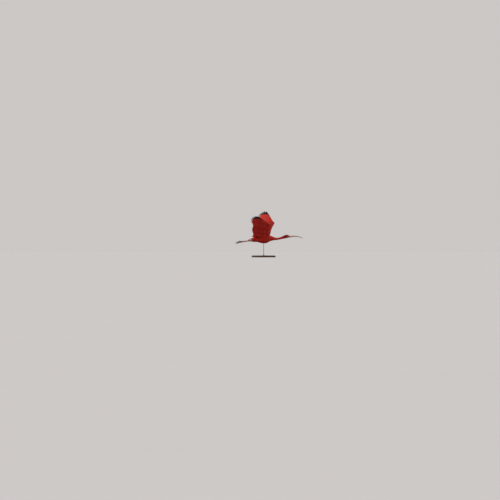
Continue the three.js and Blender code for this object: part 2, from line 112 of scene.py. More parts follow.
SPAN_LINE = unit(WRIST - SHOULDER)
HAND_LINE = unit((-0.413, 0.78, 0.47))
HAND_LENGTH = 95
ARM_CHORD = unit((-0.957, 0.275, 0.095))
ARM_UP = unit(np.cross(WRIST - SHOULDER, ARM_CHORD))
HAND_UP = unit(np.cross(HAND_LINE, ARM_CHORD))
FINGERTIP = WRIST + HAND_LINE * HAND_LENGTH
HAND_FAN = math.acos(ARM_CHORD @ HAND_LINE)
PRIMARY_LENGTHS = [185, 191, 198, 205, 209, 210, 207, 201, 190, 163]
PRIMARY_STEP = 0.6
SECONDARY_COUNT = 13
SECONDARY_LENGTHS = (117, 182)
TERTIAL_COUNT = 6
TERTIAL_LENGTHS = (134, 120)
TERTIAL_SPAN = (0.26, 0.97)
TERTIAL_TURN = 0.16
INK_LENGTHS = {3: 7, 4: 16, 5: 32, 6: 50, 7: 68, 8: 82, 9: 92}  # black at the tips of the outer primaries
BLADE_BEND = 0.00016
ROOT_SINK = 17

# Tail
TAIL_PAIRS = 6
TAIL_SPREAD = math.radians(2.5)
TAIL_STEP = 0.5
TAIL_SLOPE = math.radians(10)

# Left leg
HIP = np.array([-98, 17, -46], float)
ANKLE = np.array([-200, 13, -45.5])
TOE_ROOT = np.array([-288, 12, -57.5])
LEG_PART = 3.5  # the left foot is carried this much higher, the right one lower
TOES = [  # length, spread, drop, radius
    (56, 0.02, 0.07, 3.0), (47, 0.17, 0.24, 2.7), (43, -0.15, 0.2, 2.7), (25, -0.05, -0.36, 2.4),
]
CLAW_LENGTH = 9

# Stand
ROD_RADIUS = 4

# Colours
SCARLET = (0.37, 0.006, 0.003)
# DEEP_SCARLET: also the painted shade towards feather roots and away from the shafts
DEEP_SCARLET = (0.20, 0.003, 0.002)
# DARK_SCARLET: mostly the painted shade of the coat's head, neck, belly and arm front
DARK_SCARLET = (0.12, 0.003, 0.004)
PALE_SCARLET = (0.52, 0.045, 0.028)
SHAFT = (0.40, 0.06, 0.035)
INK = (0.012, 0.006, 0.007)
CLAW_COLOURS = ((0.035, 0.022, 0.02), (0.10, 0.06, 0.055))


def to_world(points):
    p = np.asarray(points, float).reshape(-1, 3)
    c, s = math.cos(BANK), math.sin(BANK)
    x = p[:, 0] - ROD_X
    y = p[:, 1] * c - p[:, 2] * s
    z = p[:, 1] * s + p[:, 2] * c + SHOULDER_HEIGHT
    return np.column_stack([x, y, z]) / 1000


def smoothstep(low, high, v):
    t = np.clip((np.asarray(v, float) - low) / (high - low), 0, 1)
    return t * t * (3 - 2 * t)


def spline(knots, u):
    """Catmull-Rom through equally spaced knots, at parameters from 0 to len(knots) - 1."""
    k = np.asarray(knots, float)
    k = np.concatenate([[2 * k[0] - k[1]], k, [2 * k[-1] - k[-2]]])
    u = np.clip(np.asarray(u, float), 0, len(knots) - 1 - 1e-9)
    i = np.floor(u).astype(int)
    f = (u - i).reshape(u.shape + (1,) * (k.ndim - 1))
    a, b, c, d = k[i], k[i + 1], k[i + 2], k[i + 3]
    return 0.5 * (2 * b + (c - a) * f + (2 * a - 5 * b + 4 * c - d) * f**2 + (3 * b - a - 3 * c + d) * f**3)


def to_left(p):
    """What carries points of the right half over to the left half, and back: 1, -1, 1, or else 1, 1, 1."""
    return np.where(p[:, 1:2] < 0, (1, -1, 1), (1, 1, 1))


def bell(v, middle, reach):
    """1 at the middle, fading to nothing beyond the reach."""
    return np.exp(-(((v - middle) / reach) ** 2))


def turned(v, axis, angle):
    """v turned about a unit axis."""
    c, s = math.cos(angle), math.sin(angle)
    return v * c + np.cross(axis, v) * s + axis * (v @ axis) * (1 - c)


BODY_TABLE = spline(SECTIONS, np.linspace(0, len(SECTIONS) - 1, 1200))


def body_at(x):
    """Top, bottom, half width and plumage depth of the body at x."""
    return [np.interp(x, BODY_TABLE[:, 0], BODY_TABLE[:, k]) for k in (1, 2, 3, 4)]


def body_point(x, turn, inset):
    top, bottom, half, _ = body_at(x)
    middle = (top + bottom) / 2
    height = (top - bottom) / 2
    below = np.maximum(0, -np.sin(turn))
    y = (half - inset) * np.cos(turn) * (1 - KEEL_PINCH * below**2)
    return np.stack([x + 0 * turn, y, middle + (height - inset) * np.sin(turn)], -1)


def outside_body(p):
    """How far points lie outside the body's own surface, in mm, roughly, and their turn round its axis."""
    top, bottom, half, _ = body_at(p[:, 0])
    middle, height = (top + bottom) / 2, (top - bottom) / 2
    turn = np.arctan2((p[:, 2] - middle) / height, p[:, 1] / half)
    surface = body_point(p[:, 0], turn, 0)
    away = np.hypot(p[:, 1], p[:, 2] - middle) - np.hypot(surface[:, 1], surface[:, 2] - middle)
    return away, turn


# Meshes
def new_mesh(name, points, faces):
    mesh = bpy.data.meshes.new(name)
    mesh.from_pydata(np.asarray(points).tolist(), [], [list(f) for f in faces])
    return mesh


def place_object(name, data):
    made = bpy.data.objects.new(name, data)
    SCENE.collection.objects.link(made)
    return made


def piece(name, points, faces, *rest, **more):
    """A piece of the model from points in the bird's frame; the rest is what finish_piece takes."""
    finish_piece(name, new_mesh(name, to_world(points), faces), *rest, **more)


def finish_piece(name, mesh, material, slot, nodes=(), fields=None, uv=None, sharp=None):
    """A piece from a mesh in world coordinates, riding on the model's one body and replacing CAD nodes."""
    mesh.shade_smooth()
    if sharp is not None:
        mesh.set_sharp_from_angle(angle=math.radians(sharp))
    for key, values in (fields or {}).items():
        values = np.asarray(values, np.float32)
        flat = values.ndim == 1
        layer = mesh.attributes.new(key, "FLOAT" if flat else "FLOAT_VECTOR", "POINT")
        layer.data.foreach_set("value" if flat else "vector", values.ravel())
    if uv is not None:
        corner = np.empty(len(mesh.loops), np.int32)
        mesh.loops.foreach_get("vertex_index", corner)
        layer = mesh.uv_layers.new(name="OFBake")
        layer.data.foreach_set("uv", np.asarray(uv, np.float32)[corner].ravel())
    mesh.materials.append(material)
    obj = place_object(name, mesh)
    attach(obj, "root")
    if nodes:
        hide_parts(*nodes)


def loft(rings):
    """Points and faces of a closed surface through rings that run anticlockwise seen from its end."""
    rings = np.asarray(rings, float)
    count, around = rings.shape[:2]
    faces = []
    for start in range(0, (count - 1) * around, around):
        for s in range(around):
            a, b = start + s, start + (s + 1) % around
            faces.append((a, b, b + around, a + around))
    faces.append(tuple(range(around))[::-1])
    faces.append(tuple(range((count - 1) * around, count * around)))
    return rings.reshape(-1, 3), faces


def ring(centre, across, up, count):
    """Points round an oval, from its centre and its two half axes."""
    turn = np.linspace(0, 2 * math.pi, count, endpoint=False)[:, None]
    return np.asarray(centre) + np.cos(turn) * across + np.sin(turn) * up


def tube(line, radii, around=20):
    """A round tube along a line of points."""
    ahead = unit(np.gradient(line, axis=0))
    across = unit(np.cross((0, 1, 0), ahead))
    up = np.cross(ahead, across)
    return loft([ring(*one, around) for one in zip(line, radii[:, None] * across, radii[:, None] * up)])


def mirrored(points, faces, side):
    return (points, faces) if side > 0 else (points * (1, -1, 1), [tuple(f)[::-1] for f in faces])


def joined(parts):
    points, faces, start = [], [], 0
    for p, f in parts:
        points.append(p)
        faces.extend(tuple(i + start for i in face) for face in f)
        start += len(p)
    return np.concatenate(points), faces


def fused(parts, voxel, smoothing):
    """One closed skin over overlapping closed parts, still in the bird's frame and in millimetres."""
    mesh = new_mesh("rough", *joined(parts))
    rough = place_object("rough", mesh)
    remesh = rough.modifiers.new("remesh", "REMESH")
    remesh.mode = "VOXEL"
    remesh.voxel_size = voxel
    smooth = rough.modifiers.new("smooth", "SMOOTH")
    smooth.factor = 0.5
    smooth.iterations = smoothing
    evaluated = rough.evaluated_get(bpy.context.evaluated_depsgraph_get())
    result = bpy.data.meshes.new_from_object(evaluated)
    bpy.data.objects.remove(rough)
    bpy.data.meshes.remove(mesh)
    return result


def coordinates(mesh, field="co"):
    flat = np.empty(len(mesh.vertices) * 3, np.float32)
    mesh.vertices.foreach_get(field, flat)
    return flat.reshape(-1, 3).astype(float)


def set_coordinates(mesh, points):
    mesh.vertices.foreach_set("co", np.asarray(points, np.float32).ravel())
    mesh.update()


# Materials
class Look:
    """A material, with short ways to add the kinds of node that this model's materials are made of."""

    def __init__(self, name):
        self.material = bpy.data.materials.new(name)
        self.material.use_nodes = True
        self.tree = self.material.node_tree
        self.shader = self.tree.nodes["Principled BSDF"]

    def feed(self, sockets, values):
        """Links sockets, by name or number, to outputs, or sets them to numbers, vectors or colours."""
        for key, value in values.items():
            if isinstance(value, bpy.types.NodeSocket):
                self.tree.links.new(value, sockets[key])
            else:
                colour = sockets[key].type == "RGBA"
                sockets[key].default_value = (*value, 1) if colour else value

    def surface(self, values):
        self.feed(self.shader.inputs, values)
        return self.material

    def node(self, kind, values, output=0, **settings):
        made = self.tree.nodes.new("ShaderNode" + kind)
        for key, value in settings.items():
            setattr(made, key, value)
        self.feed(made.inputs, values)
        return made.outputs[output]

    def attribute(self, name, output="Fac"):
        return self.node("Attribute", {}, output, attribute_name=name, attribute_type="GEOMETRY")

    def place(self, stretch, coordinates=None):
        """The object's own coordinates, or those given, each stretched."""
        coordinates = coordinates or self.node("TexCoord", {}, "Object")
        return self.node("Mapping", {"Vector": coordinates, "Scale": stretch})

    def texture(self, kind, place, values, output="Fac", **settings):
        place = place or self.node("TexCoord", {}, "Object")
        return self.node("Tex" + kind, {"Vector": place, **values}, output, **settings)

    def noise(self, scale, detail, place=None, distortion=0.0):
        return self.texture("Noise", place, {"Scale": scale, "Detail": detail, "Distortion": distortion})

    def mix(self, factor, a, b):
        return self.node("Mix", {0: factor, 6: a, 7: b}, 2, data_type="RGBA")

    def remap(self, value, low, high, to_low=0.0, to_high=1.0):
        return self.node("MapRange", dict(enumerate((value, low, high, to_low, to_high))))

    def over(self, colour, other, value, low, high, least=0.0, most=1.0):
        """A colour under another, whose strength goes from least to most as a value goes from low to high."""
        return self.mix(self.remap(value, low, high, least, most), colour, other)

    def bump(self, height, strength, distance):
        return self.node("Bump", {"Height": height, "Strength": strength, "Distance": distance})


def plumage_material(name, barb_height, shafts):
    """Feathers: colour by the tone, place and ink of each, and fine barbs running out from its shaft; painted
    shade darkens each feather towards its root and towards its edges.
    """
    look = Look(name)
    tone, along, ink = (look.attribute(key) for key in ("tone", "along", "ink"))
    barb = look.attribute("barb", "Vector")
    streaks = look.noise(1.0, 3.0, look.place((2.2, 0.12, 9.0), barb))
    bands = look.texture("Wave", barb, {"Scale": 0.5, "Distortion": 0.8})
    across = look.node("SeparateXYZ", {0: barb}, 1)
    off_shaft = look.node("Math", {0: across}, operation="ABSOLUTE")
    colour = look.mix(tone, SCARLET, PALE_SCARLET)
    # A tone below nothing darkens towards DARK_SCARLET; such tones are mostly painted shade, and partly
    # random tone under the wing
    colour = look.over(colour, DARK_SCARLET, tone, 0.0, -1.0)
    # Painted shade: darker towards each feather's root, where the feathers lying over it shade it
    colour = look.over(colour, DEEP_SCARLET, along, 0.0, 0.75, 0.8, 0.0)
    colour = look.over(colour, DEEP_SCARLET, streaks, 0.4, 0.75, 0.0, 0.6)
    # Painted shade: darker away from the shaft, towards the edges that neighbouring feathers cover
    colour = look.over(colour, DEEP_SCARLET, off_shaft, 2.0, 11.0, 0.0, 0.35)
    colour = look.over(colour, SHAFT, off_shaft, 0.25, 0.6, shafts, 0.0)
    return look.surface({
        "Base Color": look.mix(ink, colour, INK),
        "Roughness": look.remap(ink, 0.0, 1.0, 0.6, 0.45),
        "Specular IOR Level": look.remap(ink, 0.0, 1.0, 0.11, 0.05),
        "Sheen Weight": 0.03,
        "Sheen Roughness": 0.4,
        "Sheen Tint": (1.0, 0.42, 0.32),
        "Normal": look.bump(bands, barb_height, 0.0003),
    })


def skin_material():
    """Skin: scarlet where feathers hide it, dull pink and finely creased where bare is 1, on the face."""
    look = Look("bare_skin")
    patches = look.noise(260.0, 4.0)
    creases = look.texture("Voronoi", None, {"Scale": 900.0}, "Distance")
    face = look.mix(patches, (0.25, 0.045, 0.038), (0.34, 0.09, 0.072))
    return look.surface({
        "Base Color": look.mix(look.attribute("bare"), (0.26, 0.008, 0.005), face),
        "Roughness": 0.6,
        "Specular IOR Level": 0.25,
        "Subsurface Weight": 0.1,
        "Subsurface Scale": 0.002,
        "Normal": look.bump(creases, 0.35, 0.0003),
    })


def bill_material():
    """Horn, flesh-brown at the base and darker to the tip, with fine lengthwise growth lines, and painted
    shade in the nostrils.
    """
    look = Look("bill_horn")
    along = look.attribute("along")
    lines = look.noise(1.0, 4.0, look.place((40, 900, 900)))
    mottle = look.noise(90.0, 5.0)
    colour = look.over((0.34, 0.18, 0.15), (0.20, 0.125, 0.105), along, 0.05, 0.9)
    colour = look.over(colour, (0.17, 0.08, 0.06), mottle, 0.42, 0.7, 0, 0.5)
    colour = look.over(colour, (0.08, 0.042, 0.035), lines, 0.5, 0.75, 0, 0.4)
    colour = look.over(colour, (0.36, 0.10, 0.08), along, 0.0, 0.07, 0.75, 0.0)
    return look.surface({
        # Painted shade: nearly black in the nostrils, which are only shallow dents
        "Base Color": look.over(colour, (0.03, 0.014, 0.012), look.attribute("hollow"), 0.45, 0.85),
        "Roughness": look.remap(mottle, 0.3, 0.7, 0.3, 0.48),
        "Normal": look.bump(lines, 0.25, 0.0003),
    })


def leg_material():
    """Bare leg: dull pink with small many-sided scales, darker between them and on the feet."""
    look = Look("leg_scales")
    scales = look.texture(
        "Voronoi", look.place((0.7, 1, 1)), {"Scale": 560.0}, "Distance", feature="DISTANCE_TO_EDGE")
    colour = look.mix(look.noise(110.0, 4.0), (0.20, 0.036, 0.043), (0.32, 0.075, 0.080))
    colour = look.mix(look.attribute("dark"), colour, (0.030, 0.014, 0.016))
    return look.surface({
        "Base Color": look.over(colour, (0.10, 0.04, 0.04), scales, 0.0, 0.12, 0.6, 0.0),
        "Roughness": 0.5,
        "Normal": look.bump(look.remap(scales, 0.0, 0.15), 0.5, 0.0003),
    })


def mottled_material(name, scale, dark, pale, roughness):
    look = Look(name)
    colour = look.mix(look.noise(scale, 3.0), dark, pale)
    return look.surface({"Base Color": colour, "Roughness": roughness})


def eye_material():
    """Dark brown iris round a black pupil, under a wet cornea; rim is the angle from the eye's axis."""
    look = Look("eyeball")
    rim = look.attribute("rim")
    iris = look.mix(look.noise(1500.0, 2.0), (0.012, 0.005, 0.003), (0.050, 0.021, 0.011))
    colour = look.over((0.002, 0.002, 0.002), iris, rim, 0.40, 0.44)
    return look.surface({
        "Base Color": look.over(colour, (0.006, 0.003, 0.003), rim, 0.74, 0.86),
        "Roughness": 0.3,
        "Specular IOR Level": 0.1,
        "Coat Weight": 0.25,
        "Coat Roughness": 0.03,
    })


def wood_material():
    """Dark stained wood, its grain running along x, under a thin wax."""
    look = Look("stained_wood")
    rings = look.noise(3.0, 4.0, look.place((1.2, 9, 9)), distortion=0.6)
    pores = look.noise(60.0, 6.0, look.place((1, 14, 14)))
    colour = look.mix(rings, (0.05, 0.028, 0.017), (0.105, 0.058, 0.034))
    return look.surface({
        "Base Color": look.over(colour, (0.03, 0.016, 0.01), pores, 0.5, 0.65, 0, 0.6),
        "Roughness": look.remap(pores, 0.3, 0.7, 0.5, 0.65),
        "Specular IOR Level": 0.3,
        "Coat Weight": 0.06,
        "Coat Roughness": 0.35,
        "Normal": look.bump(pores, 0.15, 0.0004),
    })


def steel_material():
    look = Look("brushed_rod")
    brushing = look.noise(1.0, 2.0, look.place((300, 300, 3000)))
    return look.surface({
        "Base Color": look.mix(brushing, (0.40, 0.39, 0.37), (0.50, 0.49, 0.47)),
        "Roughness": look.remap(brushing, 0.3, 0.7, 0.12, 0.24),
        "Metallic": 1.0,
        "Normal": look.bump(brushing, 0.1, 0.0001),
    })


# The wing's flesh
WING_SECTION = np.array([  # share of the chord, height above and below
    (0, 0, 0), (0.06, 0.62, 0.62), (0.24, 1, 1), (0.6, 0.92, 0.84), (0.9, 0.7, 0.45), (1, 0.5, 0.26),
])
WING_STATIONS = [  # share from shoulder to wrist, chord, thickness, part ahead of the line
    (-0.12, 82, 20, 22), (0.12, 85, 19, 18), (0.45, 88, 15, 8), (0.75, 57, 13, 7), (1, 35, 12, 10),
]
HAND_STATIONS = [(0.3, 29, 11), (0.65, 24, 10), (1, 16, 8), (1.06, 6, 3)]
THIGH_RADII = ((0, 0.5, 1), (10, 6.5, 3.6))  # shares of its length, radii there
SKIN_VOXEL = 2.0


def wing_flesh():
    knots = []
    for t, chord, thick, ahead in WING_STATIONS:
        knots.append([*(SHOULDER + (WRIST - SHOULDER) * t), chord, thick, ahead, *ARM_CHORD, *ARM_UP])
    for t, chord, thick in HAND_STATIONS:
        at = WRIST + (FINGERTIP - WRIST) * t - HAND_UP * 2.4 * t
        back = unit(ARM_CHORD * (1 - 0.35 * t) + HAND_LINE * 0.35 * t)
        knots.append([*at, chord, thick, 5, *back, *HAND_UP])
    share = (1 - np.cos(np.linspace(0, math.pi, 15))) / 2
    upper = np.interp(share, WING_SECTION[:, 0], WING_SECTION[:, 1])
    lower = np.interp(share, WING_SECTION[:, 0], WING_SECTION[:, 2])
    rings = []
    for k in spline(knots, np.linspace(0, len(knots) - 1, 60)):
        back = unit(k[6:9])
        up = unit(k[9:12] - back * (k[9:12] @ back))
        line = lambda s, h: k[:3] + np.outer(s * k[3] - k[5], back) + np.outer(h * k[4] / 2, up)
        rings.append(np.concatenate([line(share, upper), line(share[:0:-1], -lower[:0:-1])])[::-1])
    return loft(rings)


def body_flesh():
    x = np.linspace(SECTIONS[0, 0] + 3, SECTIONS[-1, 0], 150)
    turn = np.linspace(0, 2 * math.pi, 64, endpoint=False)
    return loft([body_point(np.full(64, v), turn, body_at(v)[3]) for v in x])


def thigh_flesh(side):
    ankle, _ = leg_joints(side)
    path = spline([HIP, knee(ankle), HIP + (ankle - HIP) * 0.88 - (0, 0, 1.2)], np.linspace(0, 2, 24))
    return tube(path, np.interp(np.linspace(0, 1, 24), *THIGH_RADII))


def bare_face(p):
    """1 on the bare skin round the eye and in front of it, 0 under feathers."""
    dx, dz = p[:, 0] - EYE[0], p[:, 2] - EYE[2]
    surround = 1 - smoothstep(0.85, 1.1, np.hypot(dx / 8.5, dz / 7.2))
    back = np.where(dz < -7, -2 - (dz + 7) * 0.9, -2)
    lores = smoothstep(back - 1, back + 1, dx) * (1 - smoothstep(5.2, 7.2, dz - 0.02 * dx))
    return np.maximum(surround, lores)


def shape_head(mesh):
    """Puts the head's points back on its true surface, then sinks the eye sockets, raises the lids and
    draws the corners of the mouth."""
    made = bmesh.new()
    made.from_mesh(mesh)
    eyes = [Vector(EYE * (1, side, 1)) for side, _ in SIDES]
    for finer in (
        lambda e: min(v.co.x for v in e.verts) > HEAD_FROM[0],
        lambda e: min(v.co.x for v in e.verts) > HEAD_FROM[1],
        lambda e: min((e.verts[0].co - eye).length for eye in eyes) < EYE_SURROUND,
    ):
        chosen = [e for e in made.edges if finer(e)]
        bmesh.ops.subdivide_edges(made, edges=chosen, cuts=1, use_grid_fill=True)
    bmesh.ops.triangulate(made, faces=[f for f in made.faces if len(f.verts) > 4])
    made.to_mesh(mesh)
    made.free()
    p = coordinates(mesh)
    _, turn = outside_body(p)
    true = body_point(p[:, 0], turn, body_at(p[:, 0])[3])
    sure = (smoothstep(168, 182, p[:, 0]) * (1 - smoothstep(242, 243.4, p[:, 0])))[:, None]
    p = p * (1 - sure) + true * sure
    for side, _ in SIDES:
        axis = EYE_AXIS * (1, side, 1)
        d = p - EYE * (1, side, 1)
        height = d @ axis
        radius = np.linalg.norm(d - np.outer(height, axis), axis=1)
        raised = height + 0.85 * bell(radius, 5.3, 0.75) + 0.3 * bell(radius, 7.4, 0.7)
        socket = smoothstep(LID_RADIUS + 0.2, LID_RADIUS - 0.5, radius)
        raised = raised * (1 - socket) + np.minimum(raised, 0.8) * socket
        p += np.outer(np.where(height > 0, raised - height, 0), axis)
        mouth = bell(p[:, 2], 0.02 * (p[:, 0] - 238) - 3.6, 0.5)
        mouth *= smoothstep(224, 228, p[:, 0]) * (p[:, 1] * side > 0)
        p[:, 1] -= side * 0.7 * mouth
    set_coordinates(mesh, p)
    return bare_face(p)


def make_skin():
    """The skin over body, wings and thighs, with the tree and the triangles that the coat is laid by."""
    parts = [body_flesh()]
    for side, _ in SIDES:
        parts.append(mirrored(*wing_flesh(), side))
        parts.append(mirrored(*thigh_flesh(side), side))
    mesh = fused(parts, SKIN_VOXEL, 6)
    bare = shape_head(mesh)
    p = coordinates(mesh)
    tree = BVHTree.FromPolygons([Vector(v) for v in p], [list(f.vertices) for f in mesh.polygons])
    mesh.calc_loop_triangles()
    corners = np.empty(len(mesh.loop_triangles) * 3, np.int32)
    mesh.loop_triangles.foreach_get("vertices", corners)
    set_coordinates(mesh, to_world(p))
    nodes = ["head", "neck", "torso"]
    finish_piece("skin", mesh, skin_material(), "plumage", nodes, {"bare": bare})
    return tree, p[corners.reshape(-1, 3)]


# Contour feathers
COAT_ENDS = (-181, 241.5)
NECK_X, HEAD_X, BELLY_Z = 60, 175, -20  # where the coat's pieces meet
ROOTS_TRIED = 200000
BARB_SLANT = 1.1  # how far barbs run on for each step away from the shaft
BODY, WING, THIGH = 0, 1, 2  # tracts
BODY_LENGTHS = np.array([  # x, length of the body's feathers there
    (-186, 9), (-165, 14), (-135, 24), (-110, 28), (-40, 27), (20, 21), (60, 15), (120, 10), (170, 7.5),
    (205, 5.0), (225, 3.4), (243, 2.4),
])
THIGH_LENGTH = 11
WING_LENGTHS = ((-10, 10, 60), (9, 12, 20))  # distances behind the arm's line, lengths there
WING_SPACING, NECK_SPACING, BODY_SPACING = 0.205, 0.185, 0.155  # between roots, against the length
# How far a feather may point out of the skin, from -1 to 1; where it would point further, none grows
WING_FACING, TAIL_FACING, BODY_FACING = 0.25, 0.85, 0.45

# How each kind is drawn: at which shares of its length, how wide there, with how many points across;
# its breadth, its rise from the skin and its fraying against its length, and its thickness
FINE_FEATHER = dict(
    shares=(0, 0.35, 0.72, 1), outline=(0.45, 0.95, 0.85, 0.4), columns=5, breadth=0.42, rise=0.085,
    fray=0.09, thickness=0.12,
)
BROAD_FEATHER = dict(
    shares=(0, 0.26, 0.55, 0.82, 1), outline=(0.4, 0.85, 1.0, 0.86, 0.5), columns=7, breadth=0.5, rise=0.055,
    fray=0.055, thickness=0.18,
)
COVERT_FEATHER = dict(BROAD_FEATHER, breadth=0.56, fray=0.035)


def wing_place(p):
    """Where points lie on their wing: how far behind the arm's line, out along it and beyond the wrist, and
    whether above the wing."""
    p = p * to_left(p)
    out = p - SHOULDER
    return out @ ARM_CHORD, out @ SPAN_LINE, (p - WRIST) @ HAND_LINE, out @ ARM_UP > 0


def flow_at(p):
    """Which way the feathers lie at points on the skin, how long they are, and which tract they belong to."""
    away, _ = outside_body(p)
    out = smoothstep(1, 16, away)
    tract = np.where((p[:, 0] < -90) & (p[:, 2] < -10), THIGH, WING)
    behind, _, beyond, _ = wing_place(p)
    hand = np.clip(beyond / HAND_LENGTH, 0, 1)
    turn = 0.6 * hand[:, None]
    wing_flow = unit(ARM_CHORD * (1 - turn) + HAND_LINE * turn + SPAN_LINE * 0.1)
    own_flow = np.where(tract[:, None] == WING, wing_flow, unit(ANKLE - HIP))
    flow = np.array([-1.0, 0, 0]) * (1 - out[:, None]) + own_flow * out[:, None]
    body_length = np.interp(p[:, 0], *BODY_LENGTHS.T)
    wing_length = np.interp(behind, *WING_LENGTHS) * (1 - 0.3 * hand)
    own_length = np.where(tract == WING, wing_length, THIGH_LENGTH)
    length = body_length * (1 - out) + own_length * out
    return unit(flow * to_left(p)), length, np.where(out > 0.5, tract, BODY)


def feather_spacing(p):
    _, length, tract = flow_at(p)
    on_body = np.where(p[:, 0] > NECK_X, NECK_SPACING, BODY_SPACING)
    return length * np.where(tract == WING, WING_SPACING, on_body)


def scattered(triangles, count):
    """Points over triangles, no two closer than the feathers' spacing, with the triangles' normals."""
    edge_a, edge_b = triangles[:, 1] - triangles[:, 0], triangles[:, 2] - triangles[:, 0]
    cross = np.cross(edge_a, edge_b)
    area = np.linalg.norm(cross, axis=1) / 2
    weight = area / feather_spacing(triangles.mean(1)) ** 2
    chosen = RANDOM.choice(len(triangles), count, p=weight / weight.sum())
    a, b = RANDOM.random((2, count, 1))
    flip = a + b > 1
    a, b = np.where(flip, 1 - a, a), np.where(flip, 1 - b, b)
    points = triangles[chosen, 0] + a * edge_a[chosen] + b * edge_b[chosen]
    spacing = feather_spacing(points)
    tree = KDTree(count)
    for k, point in enumerate(points):
        tree.insert(point, k)
    tree.balance()
    free = np.ones(count, bool)
    kept = []
    for k in range(count):
        if not free[k]:
            continue
        kept.append(k)
        for _, other, _ in tree.find_range(points[k], spacing[k]):
            free[other] = False
    return points[kept], unit(cross[chosen[kept]])


def laid_feathers(tree, points, flows, lengths, widths, rises, shape):
    """Each feather's line over the skin: at each share of its length the places of its left edge, middle and
    right edge, with the skin's normal and the way the feather runs. Where the skin turns away from under it,
    as at the back of the wing, a feather goes on straight."""
    lines = np.empty((len(points), len(shape["shares"]), 3, 3))
    normals, ways = np.empty((2, *lines.shape[:2], 3))
    lifts = RANDOM.normal(0, 0.1, len(points))
    for k in range(len(points)):
        at, normal, _, _ = tree.find_nearest(points[k])
        aim = Vector(flows[k])
        turned_away = max(0.35, normal.dot(aim) + 0.25)
        flow = aim
        before = 0.0
        straight = False
        for j, (share, breadth) in enumerate(zip(shape["shares"], shape["outline"])):
            step = (share - before) * lengths[k]
            before = share
            flow = (flow - normal * flow.dot(normal)).normalized()
            ahead = at + flow * step
            if j:
                found, turn, _, away = tree.find_nearest(ahead)
                far = away > 0.35 * step + 0.4
                straight = straight or far or turn.dot(normal) < 0.5 or turn.dot(aim) > turned_away
                at, normal = (ahead, normal) if straight else (found, turn)
            rise = rises[k] * (share**0.8 * (1 + lifts[k]) - 0.12)
            side = normal.cross(flow).normalized() * (widths[k] * breadth / 2)
            lines[k, j, 1] = at + normal * rise
            normals[k, j] = normal
            ways[k, j] = flow
            for slot, way in ((0, side), (2, -side)):
                edge = at + way
                found, turn, _, away = tree.find_nearest(edge)
                if not straight and away < 0.6 * way.length and turn.dot(normal) > 0.5:
                    edge = found * 0.8 + edge * 0.2
                lines[k, j, slot] = edge + normal * (rise - 0.1 * way.length)
    return lines, normals, ways


def atlas(p, tract):
    """Where roots lie on a flat map of the skin: the body rolled out, with wings and thighs beside it."""
    _, turn = outside_body(p)
    behind, reach, beyond, above = wing_place(p)
    right = p[:, 1] < 0
    along = (p[:, 0] + 190) / 440
    body = np.column_stack([0.27 + turn / (4 * math.pi), 0.02 + 0.94 * along])
    span = np.clip((np.minimum(reach, 190) + np.clip(beyond, 0, None)) / 300, 0, 1)
    column = 0.55 + 0.11 * (2 * right + above)
    wing = np.column_stack([column + 0.1 * np.clip((behind + 30) / 150, 0, 1), 0.3 + 0.68 * span])
    leg = np.column_stack([0.6 + 0.1 * right + 0.05 * turn / math.pi, 0.05 + 0.2 * along])
    return np.where((tract == WING)[:, None], wing, np.where((tract == THIGH)[:, None], leg, body))


def coat_tone_and_shade(p, tract):
    """Tone of each feather of the coat: at random, alike in small clumps and most varied under the wing, with
    painted shade that darkens the neck, the head most, the belly and the upper side of the arm's front."""
    behind, reach, _, above = wing_place(p)
    ahead = np.interp(reach, [0, 80, 190], [22, 8, 10])
    front = 1 - smoothstep(16, 46, behind + ahead)
    front *= smoothstep(4, 14, reach) * (1 - 0.4 * smoothstep(90, 190, reach))
    spread = RANDOM.uniform(0, 1, len(p))
    centres = p[RANDOM.choice(len(p), len(p) // 10)]
    nearest = ((p[:, None] - centres[None]) ** 2).sum(2).argmin(1)
    clump = RANDOM.uniform(-1, 1, len(centres))[nearest]
    under_wing = 1.5 * spread - 0.5 + 0.6 * clump
    # Painted shade along the upper side of the arm's front
    over_wing = 0.75 * spread * (1 - 0.6 * front) - 0.75 * front
    # Painted shade: the neck a little darker, the head much darker, and the underside of the belly
    on_body = 0.75 * spread + 0.2 * clump - 0.3 * smoothstep(70, 110, p[:, 0])
    on_body -= 1.15 * smoothstep(165, 208, p[:, 0]) + 0.6 * smoothstep(-35, -62, p[:, 2])
    return np.where(tract == WING, np.where(above, over_wing, under_wing), on_body)


def feather_fields(tone, along, ink, barb, across):
    """What the plumage's materials read at each point, with the streaks shifted by the feather's tone."""
    return {"tone": tone, "along": along, "ink": ink, "barb": np.column_stack([barb, across, tone * 7])}


def feather_faces(rows, columns):
    """Faces of a thin closed feather: a grid above, and below it one line of points down the middle."""
    at = lambda r, c: r * (columns + 1) + c
    below, last = columns, columns - 1
    quads, triangles = [], []
    for r in range(rows - 1):
        for c in range(last):
            quads.append((at(r, c), at(r, c + 1), at(r + 1, c + 1), at(r + 1, c)))
        quads.append((at(r, 0), at(r + 1, 0), at(r + 1, below), at(r, below)))
        quads.append((at(r, below), at(r + 1, below), at(r + 1, last), at(r, last)))
    for c in range(last):
        triangles.append((at(rows - 1, c), at(rows - 1, c + 1), at(rows - 1, below)))
        triangles.append((at(0, c + 1), at(0, c), at(0, below)))
    return quads, triangles


